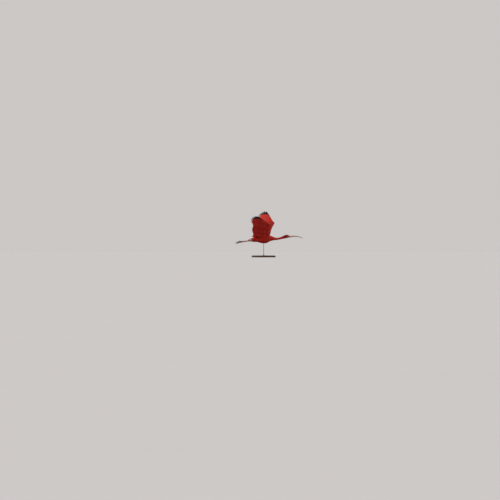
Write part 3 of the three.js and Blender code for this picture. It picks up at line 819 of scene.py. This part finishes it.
def coat(name, tree, roots, material, shape):
    """A piece of the coat: small feathers with frayed ends, each following the skin from its root."""
    points, flows, lengths, tracts = roots
    shares, outline, columns = np.array(shape["shares"]), np.array(shape["outline"]), shape["columns"]
    count, rows = len(points), len(shares)
    widths = lengths * shape["breadth"] * RANDOM.uniform(0.85, 1.15, count)
    rises = np.clip(lengths * shape["rise"], 0.35, 2.4)
    lines, normals, ways = laid_feathers(tree, points, flows, lengths, widths, rises, shape)
    q = np.linspace(-1, 1, columns)[None, None, :, None]
    left, middle, right = (lines[:, :, k, None] for k in range(3))
    up = normals[:, :, None]
    thick = shape["thickness"] * np.linspace(1, 0.5, rows)[None, :, None, None]
    ridge = lengths[:, None, None, None] * 0.02 * bell(q, 0, 0.25)
    top = middle + q * (right - left) / 2 + q**2 * ((right + left) / 2 - middle)
    top = top + up * (thick * (1 - q**2) / 2 + ridge)
    teeth = np.where(np.arange(columns) % 2 == 0, 1.0, -1.0) * RANDOM.uniform(0.3, 1.2, (count, columns))
    teeth = teeth * shape["fray"] - 0.085 * q[0, 0, :, 0] ** 2
    top[:, -1] += ways[:, -1, None] * (teeth * lengths[:, None])[..., None]
    ragged = RANDOM.normal(0, shape["fray"] * 0.9, (count, rows - 1, 2))
    ragged *= (shares[:-1] > 0.2)[None, :, None]
    for k, c in enumerate((0, columns - 1)):
        top[:, :-1, c] += ways[:, :-1] * (ragged[:, :, k] * lengths[:, None])[..., None]
        top[:, :-1, c] += (top[:, :-1, c] - top[:, :-1, columns // 2]) * ragged[:, :, k, None] * 1.5
    everything = np.concatenate([top, middle - up * thick / 2], 2)
    starts = np.arange(count)[:, None, None] * rows * (columns + 1)
    faces = []
    for kind in feather_faces(rows, columns):
        faces += (np.array(kind)[None] + starts).reshape(-1, len(kind[0])).tolist()
    full = (count, rows, columns + 1)
    share = np.broadcast_to(shares[None, :, None], full)
    side = np.broadcast_to(np.append(np.linspace(-1, 1, columns), 0)[None, None], full)
    half = (widths[:, None] * outline[None] / 2)[:, :, None] * side
    tone = np.broadcast_to(coat_tone_and_shade(points, tracts)[:, None, None], full)
    barb = share * lengths[:, None, None] - np.abs(half) * BARB_SLANT
    patch = atlas(points, tracts)[:, None, None] + np.stack([side * 0.0015, (share - 0.5) * 0.003], -1)
    fields = feather_fields(*(values.ravel() for values in (tone, share, np.zeros(full), barb, half)))
    points, uv = everything.reshape(-1, 3), patch.reshape(-1, 2)
    piece(name, points, faces, material, "plumage", (), fields, uv, sharp=32)


def make_coat(tree, triangles, material):
    """Feathers over the whole skin but the bare face, smallest and densest on the head."""
    middle = triangles.mean(1)
    covered = (middle[:, 0] > COAT_ENDS[0]) & (middle[:, 0] < COAT_ENDS[1]) & (bare_face(middle) < 0.9)
    points, normals = scattered(triangles[covered], ROOTS_TRIED)
    flows, lengths, tracts = flow_at(points)
    bare = bare_face(points)
    facing = (flows * normals).sum(1)
    limits = np.where((tracts == BODY) & (points[:, 0] < -120), TAIL_FACING, BODY_FACING)
    limits = np.where(tracts == WING, WING_FACING, limits)
    kept = (facing < limits) & (bare < RANDOM.uniform(0.1, 0.7, len(points)))
    points, flows, lengths, tracts, bare, facing = (
        v[kept] for v in (points, flows, lengths, tracts, bare, facing))
    lengths = lengths * RANDOM.uniform(0.85, 1.15, len(points)) * (1 - 0.4 * bare)
    lengths = lengths * np.where(tracts == WING, 1 - 0.12 * smoothstep(-0.3, -0.9, facing), 1)
    flows = unit(flows + RANDOM.normal(0, 0.06, flows.shape))
    x, y, z = points.T
    body, neck = (tracts != WING) & (x <= NECK_X), (tracts == BODY) & (x > NECK_X)
    regions = {
        "coat_head": (neck & (x > HEAD_X), FINE_FEATHER),
        "coat_neck": (neck & (x <= HEAD_X), FINE_FEATHER),
        "coat_back": (body & (z > BELLY_Z), BROAD_FEATHER),
        "coat_belly": (body & (z <= BELLY_Z), BROAD_FEATHER),
        "coat_wing_left": ((tracts == WING) & (y > 0), COVERT_FEATHER),
        "coat_wing_right": ((tracts == WING) & (y <= 0), COVERT_FEATHER),
    }
    for name, (chosen, shape) in regions.items():
        coat(name, tree, [v[chosen] for v in (points, flows, lengths, tracts)], material, shape)


# Vanes: quills, large coverts and the tail
SHAFT_RADIUS = 0.8
SHAFT_RIDGES = (0.35, 0.7)  # its height above and below the vane
ARM_QUILL_WIDTH = 24
PRIMARY_WIDTHS = (25, 20)
# Where the points across a vane lie, from its inner edge over the shaft to its outer edge
QUILL_ACROSS = (-1, -0.66, -0.33, -0.06, 0, 0.06, 0.33, 0.66, 1)
COVERT_ACROSS = (-1, -0.5, 0, 0.5, 1)


@dataclass
class Vane:
    """One stiff feather."""

    root: np.ndarray
    along: np.ndarray  # the way its shaft runs
    up: np.ndarray  # the way its upper side looks
    length: float
    width: float
    level: float = 0.0  # how high it lies in its row
    settle: float = 0.0  # how far its tip comes down from that
    lean: float = 0.085  # slope across, by which one feather lies over the next
    outer: float = 0.42  # share of the width ahead of the shaft
    tip: float = 0.2  # share of the length where it narrows
    blunt: float = 2.4  # how late it narrows there
    camber: float = 0.007
    sweep: float = 0.0
    splits: int = 0  # between barbs, along the inner edge
    ink: float = 0  # length of its black end
    tone: float = 0.5
    # pale: painted light, the upper side of the row paler for the glow of light through the quills
    pale: float = 0.4  # paleness of its row
    seed: int = 0
    primary: int = -1  # its number among the primaries, counted outwards


def vane_faces(stations, columns):
    """Faces of a closed vane: an upper and a lower grid of points, with a band round their rim."""
    at = lambda layer, i, j: (layer * stations + i) * columns + j
    faces = []
    for i in range(stations - 1):
        for j in range(columns - 1):
            faces.append((at(0, i, j), at(0, i, j + 1), at(0, i + 1, j + 1), at(0, i + 1, j)))
            faces.append((at(1, i, j), at(1, i + 1, j), at(1, i + 1, j + 1), at(1, i, j + 1)))
    end, edge = stations - 1, columns - 1
    rim = [(i, 0) for i in range(end)] + [(end, j) for j in range(edge)]
    rim += [(i, edge) for i in range(end, 0, -1)] + [(0, j) for j in range(edge, 0, -1)]
    for (a, b), (c, d) in zip(rim, rim[1:] + rim[:1]):
        faces.append((at(0, a, b), at(0, c, d), at(1, c, d), at(1, a, b)))
    return np.array(faces)


def vane_points(v, stations, across):
    """Upper and lower grids of one vane with its shaft, its curve and the splits in its edge, and for each
    point its tone, share of the length, ink and place along and across the barbs."""
    s = 1 - (1 - np.linspace(0, 1, stations)) ** 1.6
    q = np.array(across)
    along = unit(v.along)
    lead = unit(np.cross(along, v.up))
    top = np.cross(lead, along)
    distance = s * v.length
    end = np.clip((s - 1 + v.tip) / v.tip, 0, 1)
    width = v.width * (0.16 + 0.84 * smoothstep(0.02, 0.3, s)) * np.sqrt(1 - 0.997 * end**v.blunt)
    outer, inner = width * v.outer, width * (1 - v.outer)
    rng = np.random.default_rng(v.seed)
    for _ in range(v.splits):
        k = rng.integers(stations // 3, stations - 2)
        inner[k] *= rng.uniform(0.9, 0.97)
    side = q * np.where(q < 0, inner[:, None], outer[:, None])
    drop = v.level - v.settle * s**2 - BLADE_BEND * distance**2
    middle = drop[:, None] + v.lean * side - v.camber * side**2
    shaft = (1 - s)[:, None] * bell(side, 0, SHAFT_RADIUS)
    thick = 0.16 + 0.16 * (1 - np.abs(q)) * (1 - 0.6 * s)[:, None]
    swept = side - v.sweep * distance[:, None] ** 2
    barb = distance[:, None] - np.abs(side) * BARB_SLANT
    ink = smoothstep(-5, 5, barb - (v.length - v.ink)) if v.ink else np.zeros_like(barb)
    share = np.broadcast_to(s[:, None], barb.shape)
    # Painted light and shade: the upper side paler, the more so on the quills' rows, and the lower side
    # darker, as if lit from above
    lit_upper_tone, shaded_lower_tone = v.pale + 0.6 * v.tone, 1.1 * v.tone - 0.35
    points, fields = [], []
    for way, ridge, tone in zip((1, -1), SHAFT_RIDGES, (lit_upper_tone, shaded_lower_tone)):
        rise = middle + way * (thick / 2 + ridge * shaft)
        grid = v.root + distance[:, None, None] * along + swept[..., None] * lead + rise[..., None] * top
        points.append(grid.reshape(-1, 3))
        fields.append(np.stack([np.full_like(barb, tone), share, ink, barb, side], -1).reshape(-1, 5))
    return np.concatenate(points), np.concatenate(fields)


def vane_piece(name, vanes, stations, across, material, side, nodes=()):
    """A piece of vanes made for the left half of the bird, with a cell of the map for each."""
    cells = math.ceil(math.sqrt(len(vanes)))
    steps = np.linspace(0, 1, stations), np.linspace(0, 1, len(across))
    s, q = (grid.ravel() for grid in np.meshgrid(*steps, indexing="ij"))
    points, fields, uv = [], [], []
    for k, v in enumerate(vanes):
        p, f = vane_points(v, stations, across)
        points.append(p)
        fields.append(f)
        row, column = divmod(k, cells)
        for start in (0.04, 0.54):  # the upper side in a cell's left half, the lower in its right
            uv.append(np.column_stack([column + start + 0.42 * q, row + 0.04 + 0.92 * s]) / cells)
    starts = np.arange(len(vanes))[:, None, None] * 2 * stations * len(across)
    faces = (vane_faces(stations, len(across))[None] + starts).reshape(-1, 4).tolist()
    points, faces = mirrored(np.concatenate(points), faces, side)
    layers = feather_fields(*np.concatenate(fields).T)
    piece(name, points, faces, material, "plumage", nodes, layers, np.concatenate(uv), sharp=50)


def fresh(rng):
    """A tone and a seed of its own for one feather."""
    return dict(tone=rng.random(), seed=int(rng.integers(1 << 30)))


def arm_vane(at, rise, back, turn, length, width, up=ARM_UP, tilt=0, **more):
    """A feather beside the upper arm, rooted at a share of the way to the elbow, above and behind it."""
    root = SHOULDER + (ELBOW - SHOULDER) * at + ARM_UP * rise + ARM_CHORD * back
    along = turned(ARM_CHORD, ARM_UP, TERTIAL_TURN * turn) + ARM_UP * tilt
    return Vane(root, along, up, length, width, **more)


def quill_roots():
    """The wing's large feathers before chance has touched them, from the body outwards."""
    vanes = []
    for k in range(TERTIAL_COUNT):
        t = (k + 0.5) / TERTIAL_COUNT
        at, length = np.interp(t, (0, 1), TERTIAL_SPAN), np.interp(t, (0, 1), TERTIAL_LENGTHS)
        vanes.append(arm_vane(at, 0, 0, 1 - t, length, ARM_QUILL_WIDTH))
    for k in range(SECONDARY_COUNT):
        t = (k + 0.4) / SECONDARY_COUNT
        vanes.append(Vane(
            ELBOW + (WRIST - ELBOW) * t, ARM_CHORD, ARM_UP, np.interp(t, (0, 1), SECONDARY_LENGTHS),
            ARM_QUILL_WIDTH, tip=0.12, outer=0.4, blunt=2.8,
        ))
    for k, length in enumerate(PRIMARY_LENGTHS):
        t = k / (len(PRIMARY_LENGTHS) - 1)
        root = WRIST + (FINGERTIP - WRIST) * (0.06 + 0.9 * t)
        along = turned(ARM_CHORD, HAND_UP, -t * HAND_FAN)
        on_hand = min(1, 3 * t)
        vanes.append(Vane(
            root, along, unit(ARM_UP * (1 - on_hand) + HAND_UP * on_hand), length,
            np.interp(t, (0, 1), PRIMARY_WIDTHS), level=-PRIMARY_STEP * k, tip=0.22 + 0.2 * t,
            outer=0.42 - 0.16 * t, blunt=2.2 - 0.5 * t, ink=INK_LENGTHS.get(k, 0), primary=k,
        ))
    return vanes


COVERT_TIERS = [  # share of the quill's length, level above it, lean, breadth against the quill's, tip
    (0.46, 2.2, 0.085, 1.05, 0.26), (0.33, 3.8, 0.07, 1.1, 0.32), (0.22, 5.2, 0.06, 1.1, 0.36),
    (0.38, -2.2, 0.085, 1.05, 0.26), (0.26, -3.8, 0.07, 1.1, 0.32), (0.16, -5.0, 0.06, 1.1, 0.36),
]
WING_SEEDS = {1: 31, -1: 57}


def wing_vanes(side):
    """The quills of one wing, and the feathers that cover their roots."""
    rng = np.random.default_rng(WING_SEEDS[side])
    quills, coverts = [], []
    for root in quill_roots():
        chance, sweep = (0.008, 0.00012) if root.primary >= 0 else (0.02, 0.00005)
        quill = replace(root, splits=int(rng.integers(0, 4)), sweep=sweep, **fresh(rng))
        quill.length *= 1 + chance * rng.normal()
        quills.append(quill)
        outer = max(root.primary, 0)
        slender = 0.035 * outer
        for share, level, lean, breadth, tip in COVERT_TIERS:
            high = abs(level)
            if outer > 5 and high > 5 or outer > 7 and high > 3:  # the hand's end has fewer rows
                continue
            # The coverts' upper sides get less painted paleness than the quills', the less the further from
            # them they lie
            coverts.append(replace(
                quill, length=ROOT_SINK + share * (1 - slender) * root.length * (1 + 0.03 * rng.normal()),
                level=root.level + level + 0.15 * rng.normal(), settle=level * (0.5 - 0.022 * high),
                lean=lean, width=root.width * (breadth - slender), tip=tip + slender, blunt=2.2 - slender,
                pale=0.4 - 0.11 * high, ink=0, splits=0, **fresh(rng),
            ))
    for k, length in enumerate((60, 50, 40)):  # along the front of the hand
        coverts.append(Vane(
            WRIST + HAND_LINE * (4 + 5 * k) + ARM_CHORD * (5 + 4 * k), HAND_LINE, HAND_UP, length, 12,
            level=4.6 + 0.5 * k, lean=0.1, tip=0.36, blunt=1.9, **fresh(rng),
        ))
    return quills, coverts + scapulars(rng) + axillaries(rng)


def scapulars(rng):
    """Blades that carry the row of tertials on to the side of the back."""
    return [arm_vane(
        0.22 - 0.26 * t, 1.5 + 2.5 * t, 10 + 4 * t, 1.1 + 0.9 * t, 148 - 24 * t + 3 * rng.normal(), 25,
        up=unit(ARM_UP * (1 - 0.5 * t) + np.array([0, 0.2, 1]) * 0.5 * t), level=2.4 * t, lean=0.06,
        tip=0.4, blunt=2.0, **fresh(rng),
    ) for t in np.linspace(0, 1, 5)]


def axillaries(rng):
    """Long feathers of the armpit, under the innermost quills."""
    made = []
    for k in range(12):
        t = k / 11
        length = 52 + 26 * math.sin(math.pi * (0.25 + 0.6 * t)) + 5 * rng.normal()
        made.append(arm_vane(
            0.06 + 0.6 * t, 1.5 * t - 7.5, 14 + 6 * (k % 2), 1.4 - 1.2 * t, length, 13, tilt=0.06, lean=0.05,
            tip=0.45, blunt=1.8, **fresh(rng),
        ))
    return made


def make_wings(material):
    for side, word in SIDES:
        quills, coverts = wing_vanes(side)
        vane_piece(f"wing_quills_{word}", quills, 26, QUILL_ACROSS, material, side, [f"wing_{word}"])
        vane_piece(f"wing_coverts_{word}", coverts, 12, COVERT_ACROSS, material, side)


TAIL_COVERT_ROWS = [  # length, how far behind the tail's root, level
    (46, 0, 0.5), (38, 2, 1.6), (46, 2, -4.0), (42, 4, -5.2),
]
TAIL_SEED = 91


def tail_vane(back, out, angle, slope, length, width, **more):
    """A tail feather rooted so far behind the tail's root and out from the middle, and running at these
    angles to x, sideways and down."""
    along = (-math.cos(angle), math.sin(angle), -math.sin(slope))
    return Vane(np.array([TAIL_CUT - 4 + back, out, -20]), along, (0, 0, 1), length, width, **more)


def make_tail(material):
    """Six pairs of tail feathers, the middle ones on top, between rows of coverts above and below."""
    rng = np.random.default_rng(TAIL_SEED)
    for side, word in SIDES:
        quills, coverts = [], []
        for pair in range(TAIL_PAIRS):
            level = TAIL_STEP * (0.5 if side < 0 and pair == 0 else -pair) - 1.5
            quills.append(tail_vane(
                0, 3.4 * (pair + 0.6), TAIL_SPREAD * (pair + 0.5), TAIL_SLOPE, 62 - 1.6 * pair, 20,
                level=level, lean=0.03, blunt=2.6, outer=0.45, splits=2, **fresh(rng),
            ))
        for row, (length, back, rise) in enumerate(TAIL_COVERT_ROWS):
            slope, fall = (TAIL_SLOPE, 0.45) if rise > 0 else (TAIL_SLOPE * (1.1 + rise / 16), 0.3)
            for k in range(6):
                place = k + 0.5 * (row % 2)
                coverts.append(tail_vane(
                    back, 3.6 * place + 1, TAIL_SPREAD * place, slope,
                    length * (1 - 0.04 * k) + 2 * rng.normal(), 13, level=rise - fall * k, lean=0.0, tip=0.4,
                    blunt=2.0, camber=0.02 * np.sign(rise), **fresh(rng),
                ))
        nodes = ["tail"] if side > 0 else []
        vane_piece(f"tail_quills_{word}", quills, 18, QUILL_ACROSS, material, side, nodes)
        vane_piece(f"tail_coverts_{word}", coverts, 10, COVERT_ACROSS, material, side)


# Bill
BILL_STATIONS = 72
BILL_COLUMNS = 30
MOUTH_GAP = 0.15  # from the mouth's line to each half of the bill
BILL_ROUNDING = 0.045  # share of the length over which the tip rounds off
NOSTRIL_BACK = 13  # its middle, ahead of the bill's base
NOSTRIL_LENGTH = 4.6


def bill_ring(share, upper):
    """Points round one half of the bill, at a share of its length."""
    start = math.asin(BILL_CHORD / 2 / BILL_BEND_RADIUS)
    slope = start * (1 - 2 * share) - BILL_DROP
    start -= BILL_DROP
    centre = BILL_BASE + BILL_BEND_RADIUS * np.array(
        [math.sin(start) - math.sin(slope), 0, math.cos(slope) - math.cos(start)])
    up = np.array([-math.sin(slope), 0, math.cos(slope)])
    taper = (1 - share) ** 1.15
    depth = BILL_TIP_DEPTH + (BILL_DEPTH - BILL_TIP_DEPTH) * taper
    half_width = (BILL_TIP_WIDTH + (BILL_WIDTH - BILL_TIP_WIDTH) * taper) / 2
    closing = math.sqrt(max(0.06, 1 - max(0, (share - 1 + BILL_ROUNDING) / BILL_ROUNDING) ** 2))
    mouth = -depth * (UPPER_SHARE - 0.5)
    turn = np.linspace(0, math.pi, BILL_COLUMNS)
    side, rise = np.cos(turn), np.sin(turn)
    if upper:
        groove = smoothstep(0.03, 0.08, share) * (1 - smoothstep(0.8, 0.93, share))
        across = np.sign(side) * np.abs(side) ** 0.8 * (1 - 0.13 * groove * bell(rise, 0.55, 0.09))
        height = MOUTH_GAP + depth * UPPER_SHARE * rise
    else:
        across = (np.sign(side) * np.abs(side) ** 0.75 * 0.95)[::-1]
        height = (-MOUTH_GAP - depth * (1 - UPPER_SHARE) * rise)[::-1]
    points = centre + np.outer(across * half_width * closing, (0, 1, 0))
    return points + np.outer(mouth + height * closing, up)


def make_bill(material):
    """Both halves of the bill, with a nostril in each side of the upper one."""
    shares = 1 - (1 - np.linspace(0, 1, BILL_STATIONS)) ** 1.1
    for upper, name in ((True, "bill_upper"), (False, "bill_lower")):
        rings = np.array([bill_ring(s, upper) for s in shares])
        rings[0, :, 0] = BILL_BASE[0] - 0.9  # tucked under the skin's edge
        rings[0, :, 1:] = rings[0, :, 1:] * 0.95 + BILL_BASE[1:] * 0.05
        nostril = np.zeros(rings.shape[:2])
        if upper:
            ahead = rings[..., 0] - BILL_BASE[0] - NOSTRIL_BACK
            height = rings[..., 2] - BILL_BASE[2] - 5.1 - 0.12 * ahead
            nostril = np.exp(-((ahead / NOSTRIL_LENGTH) ** 4)) * bell(height, 0, 0.9)
            rings[..., 1] *= 1 - 0.3 * nostril
        # The nostril mask also sets where shade is painted in the bill's material
        fields = {"along": np.repeat(shares, BILL_COLUMNS), "hollow": nostril.ravel()}
        piece(f"{name}_horn", *loft(rings), material, "bill", [name], fields, sharp=55)


# Eyes
EYE_COLUMNS = 40
CORNEA_SWELL = 0.03
CORNEA_ANGLE = 0.55


def make_eyes(material):
    """Eyeballs that swell a little in front, at the cornea."""
    polar = np.linspace(math.pi - 0.02, 0.02, 36)
    for side, word in SIDES:
        axis = EYE_AXIS * (1, side, 1)
        across = unit(np.cross(axis, (0, 0, 1)))
        up = np.cross(axis, across)
        rings = []
        for a in polar:
            forward = EYE_RADIUS * math.cos(a) * (1 + CORNEA_SWELL * bell(a, 0, CORNEA_ANGLE))
            wide = EYE_RADIUS * math.sin(a)
            centre = EYE * (1, side, 1) + axis * forward
            rings.append(ring(centre, across * wide, up * wide, EYE_COLUMNS))
        fields = {"rim": np.repeat(polar, EYE_COLUMNS)}
        piece(f"eyeball_{word}", *loft(rings), material, "eye", [f"eye_{word}"], fields)


# Legs and feet
SHANK_RADII = ((0, 0.45, 0.85, 0.95, 1), (6.0, 4.5, 4.3, 5.6, 5.8))  # shares of its length, radii there
TARSUS_RADII = ((0, 0.05, 0.14, 0.5, 0.86, 0.95, 1), (5.4, 6.0, 4.0, 3.5, 3.9, 4.9, 5.4))
TOE_JOINT_RADII = ((-3, 2, 8), (4.4, 5.5, 3.4))  # distances from the toes' root, radii there
PLATE_LENGTH = 2.4  # of the plates on shins and toes
PLATE_HEIGHT = 0.28
LEG_VOXEL = 0.85


def leg_joints(side):
    """A leg's ankle and the root of its toes, mirrored to the left."""
    return ANKLE + (0, 0, side * LEG_PART / 3), TOE_ROOT + (0, 0, side * LEG_PART)


def knee(ankle):
    return HIP + (ankle - HIP) * 0.5 - (0, 0, 3.5)


def toe_line(toe_root, length, spread, drop, steps):
    """Points along a toe, which bends down a little, and their distances from its root."""
    along = unit((-1, spread, -drop))
    d = np.linspace(0, length, steps)
    return toe_root + np.outer(d, along) + np.outer(-0.0018 * d * d, (0, 0, 1)), d


def leg_parts(side):
    """Shank, tarsus, toe joint, toes and the web between their roots, as overlapping closed parts."""
    ankle, toe_root = leg_joints(side)
    shank = spline([HIP, knee(ankle), ankle], np.linspace(0.5, 2, 40))
    t = np.linspace(0, 1, 60)
    tarsus = ankle + np.outer(t, toe_root - ankle) - np.outer(np.sin(t * math.pi) * 0.8, (0, 0, 1))
    d = np.linspace(-3, 8, 12)
    joint = toe_root + np.outer(d, unit(toe_root - ankle))
    parts = [
        tube(shank, np.interp(np.linspace(0, 1, 40), *SHANK_RADII)),
        tube(tarsus, np.interp(t, *TARSUS_RADII)),
        tube(joint, np.interp(d, *TOE_JOINT_RADII)),
    ]
    for length, spread, drop, radius in TOES:
        line, d = toe_line(toe_root, length, spread, drop, 50)
        pads = 1 + 0.1 * np.cos(d / length * 3 * 2 * math.pi)
        parts.append(tube(line, radius * pads * (1.12 - 0.4 * d / length)))
    web = toe_root + np.outer(np.linspace(2, 22, 14), unit((-1, 0.01, -0.17)))
    rings = []
    for share, centre in zip(np.linspace(0, 1, 14), web):
        rings.append(ring(centre, (0, 4.6 + 1.6 * share, 0), (0, 0, 2.6 - 2.0 * share), 20)[::-1])
    return parts + [loft(rings)]


def make_legs(skin, horn):
    """Bare legs with plates along shins and toes, and a claw on each toe; horn is the claws' material."""
    for side, word in SIDES:
        ankle, toe_root = leg_joints(side)
        mesh = fused([mirrored(*part, side) for part in leg_parts(side)], LEG_VOXEL, 4)
        p, normal = coordinates(mesh), coordinates(mesh, "normal")
        x = p[:, 0]
        plates = 0.5 + 0.5 * np.cos(x / PLATE_LENGTH * 2 * math.pi)
        toes = smoothstep(-292, -298, x) * smoothstep(-0.1, 0.5, normal[:, 2])
        shin = smoothstep(-210, -216, x) * (1 - smoothstep(-280, -286, x)) * smoothstep(0, 0.6, -normal[:, 2])
        p = p + normal * (PLATE_HEIGHT * plates**0.5 * (toes + 0.6 * shin))[:, None]
        dark = smoothstep(-270, -298, x) * 0.92 + 0.1 * bell(x, ankle[0], 9)
        set_coordinates(mesh, to_world(p))
        nodes = [f"leg_{word}", f"foot_{word}"]
        finish_piece(f"leg_skin_{word}", mesh, skin, "leg_skin", nodes, {"dark": dark})
        claws = []
        for length, spread, drop, radius in TOES:
            line, d = toe_line(toe_root, length + CLAW_LENGTH, spread, drop, 60)
            chosen = d >= length - 2.5
            line, d = line[chosen], d[chosen] - length
            line = line + np.outer(-0.02 * np.clip(d, 0, None) ** 2 + 0.3, (0, 0, 1))
            radii = radius * 0.66 * np.sqrt(np.clip((CLAW_LENGTH + 0.4 - d) / (CLAW_LENGTH + 2.9), 0.01, 1))
            claws.append(mirrored(*tube(line, radii, 14), side))
        piece(f"claws_{word}", *joined(claws), horn, "leg_skin", sharp=50)


# Stand
BASE_EDGE = 4.0  # rounding of the base's lower edge
BASE_STEP = 3.0  # depth and height of the step near its top
BASE_SHOULDER = 5.0  # rounding of the edge above that step
COLLAR = [  # round the rod's foot: radius, height above the base
    (9.4, 0.3), (10, 0.9), (10, 3.5), (9.4, 4.1), (7.2, 5.7), (5, 6.5), (4.2, 7.5), (ROD_RADIUS, 8.8),
]


def lathe(name, profile, around, material, slot, nodes):
    """A turned piece standing on the origin, from the radius and height of each point of its profile."""
    rings = [ring((0, 0, z), (r, 0, 0), (0, r, 0), around) for r, z in profile]
    points, faces = loft(rings)
    finish_piece(name, new_mesh(name, points / 1000, faces), material, slot, nodes, sharp=40)


def quarter(radius, z, wide, high, start=0.0):
    """A quarter of an oval round (radius, z), without its first point."""
    turns = start + np.linspace(0, math.pi / 2, 9)[1:]
    return [(radius + wide * math.cos(a), z + high * math.sin(a)) for a in turns]


def make_stand():
    low, high = (np.array(corner) * 1000 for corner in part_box("stand_base"))
    radius, top = (high[0] - low[0]) / 2, high[2]
    shoulder = top - BASE_SHOULDER
    inner = radius - BASE_STEP
    profile = [(radius - BASE_EDGE, 0)]
    profile += quarter(radius - BASE_EDGE, BASE_EDGE, BASE_EDGE, BASE_EDGE, -math.pi / 2)
    profile += [(radius, shoulder - BASE_STEP)] + quarter(radius - 2, shoulder - BASE_STEP, 2, BASE_STEP)
    profile += [(inner, shoulder)] + quarter(inner - BASE_SHOULDER, shoulder, BASE_SHOULDER, BASE_SHOULDER)
    lathe("stand_base_wood", profile, 160, wood_material(), "stand_wood", ["stand_base"])
    rod_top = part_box("stand_rod")[1][2] * 1000
    profile = [(r, top + z) for r, z in COLLAR] + [(ROD_RADIUS, rod_top - 0.5), (ROD_RADIUS - 0.5, rod_top)]
    lathe("stand_rod_steel", profile, 48, steel_material(), "stand_metal", ["stand_rod"])


# Stage
FLOOR_REACH = 90.0  # metres
FLOOR_COLOURS = ((0.498, 0.482, 0.477), (0.516, 0.500, 0.495))
SKY = (0.60, 0.575, 0.56, 1)
SUN_FROM = (-0.12, -0.36, 0.93)
SUN_STRENGTH = 2.0
SUN_ANGLE = math.radians(20)
CLIP_END = 300


def make_stage():
    corners = [(x * FLOOR_REACH, y * FLOOR_REACH, 0) for x, y in ((-1, -1), (1, -1), (1, 1), (-1, 1))]
    mesh = new_mesh("floor", corners, [range(4)])
    mesh.materials.append(mottled_material("pale_floor", 6.0, *FLOOR_COLOURS, 0.8))
    place_object("floor", mesh)
    world = bpy.data.worlds.new("studio")
    SCENE.world = world
    world.use_nodes = True
    world.node_tree.nodes["Background"].inputs["Color"].default_value = SKY
    key = bpy.data.lights.new("key", "SUN")
    key.energy = SUN_STRENGTH
    key.angle = SUN_ANGLE
    place_object("key", key).rotation_euler = Vector(SUN_FROM).to_track_quat("Z", "Y").to_euler()


def make_camera():
    """A long lens at the photograph's angle, framing what the photograph's own frame holds."""
    metres = MM_PER_PIXEL / 1000
    c, s = math.cos(CAMERA_AZIMUTH), math.sin(CAMERA_AZIMUTH)
    back = np.array([s, -c, 0])
    off_u, off_v = (metres * (IMAGE_SIDE / 2 - at) for at in SHOULDER_PIXEL)
    aim = to_world([(0, 0, 0)])[0] + np.array([c, s, 0]) * off_u - np.array([0, 0, off_v])
    camera = bpy.data.cameras.new("camera")
    camera.lens = CAMERA_LENS
    camera.sensor_width = SENSOR_WIDTH
    camera.clip_end = CLIP_END
    holder = place_object("camera", camera)
    holder.location = aim + back * IMAGE_SIDE * metres * CAMERA_LENS / SENSOR_WIDTH
    holder.rotation_euler = Vector(back).to_track_quat("Z", "Y").to_euler()
    SCENE.camera = holder


SCENE.view_settings.view_transform = "Standard"
make_camera()
make_stage()
plumage = plumage_material("plumage_vanes", 0.3, 0.6)
down = plumage_material("plumage_contour", 0.35, 0.0)
skin_tree, skin_faces = make_skin()
make_coat(skin_tree, skin_faces, down)
make_wings(plumage)
make_tail(plumage)
make_bill(bill_material())
make_eyes(eye_material())
make_legs(leg_material(), mottled_material("claw_horn", 400.0, *CLAW_COLOURS, 0.35))
make_stand()
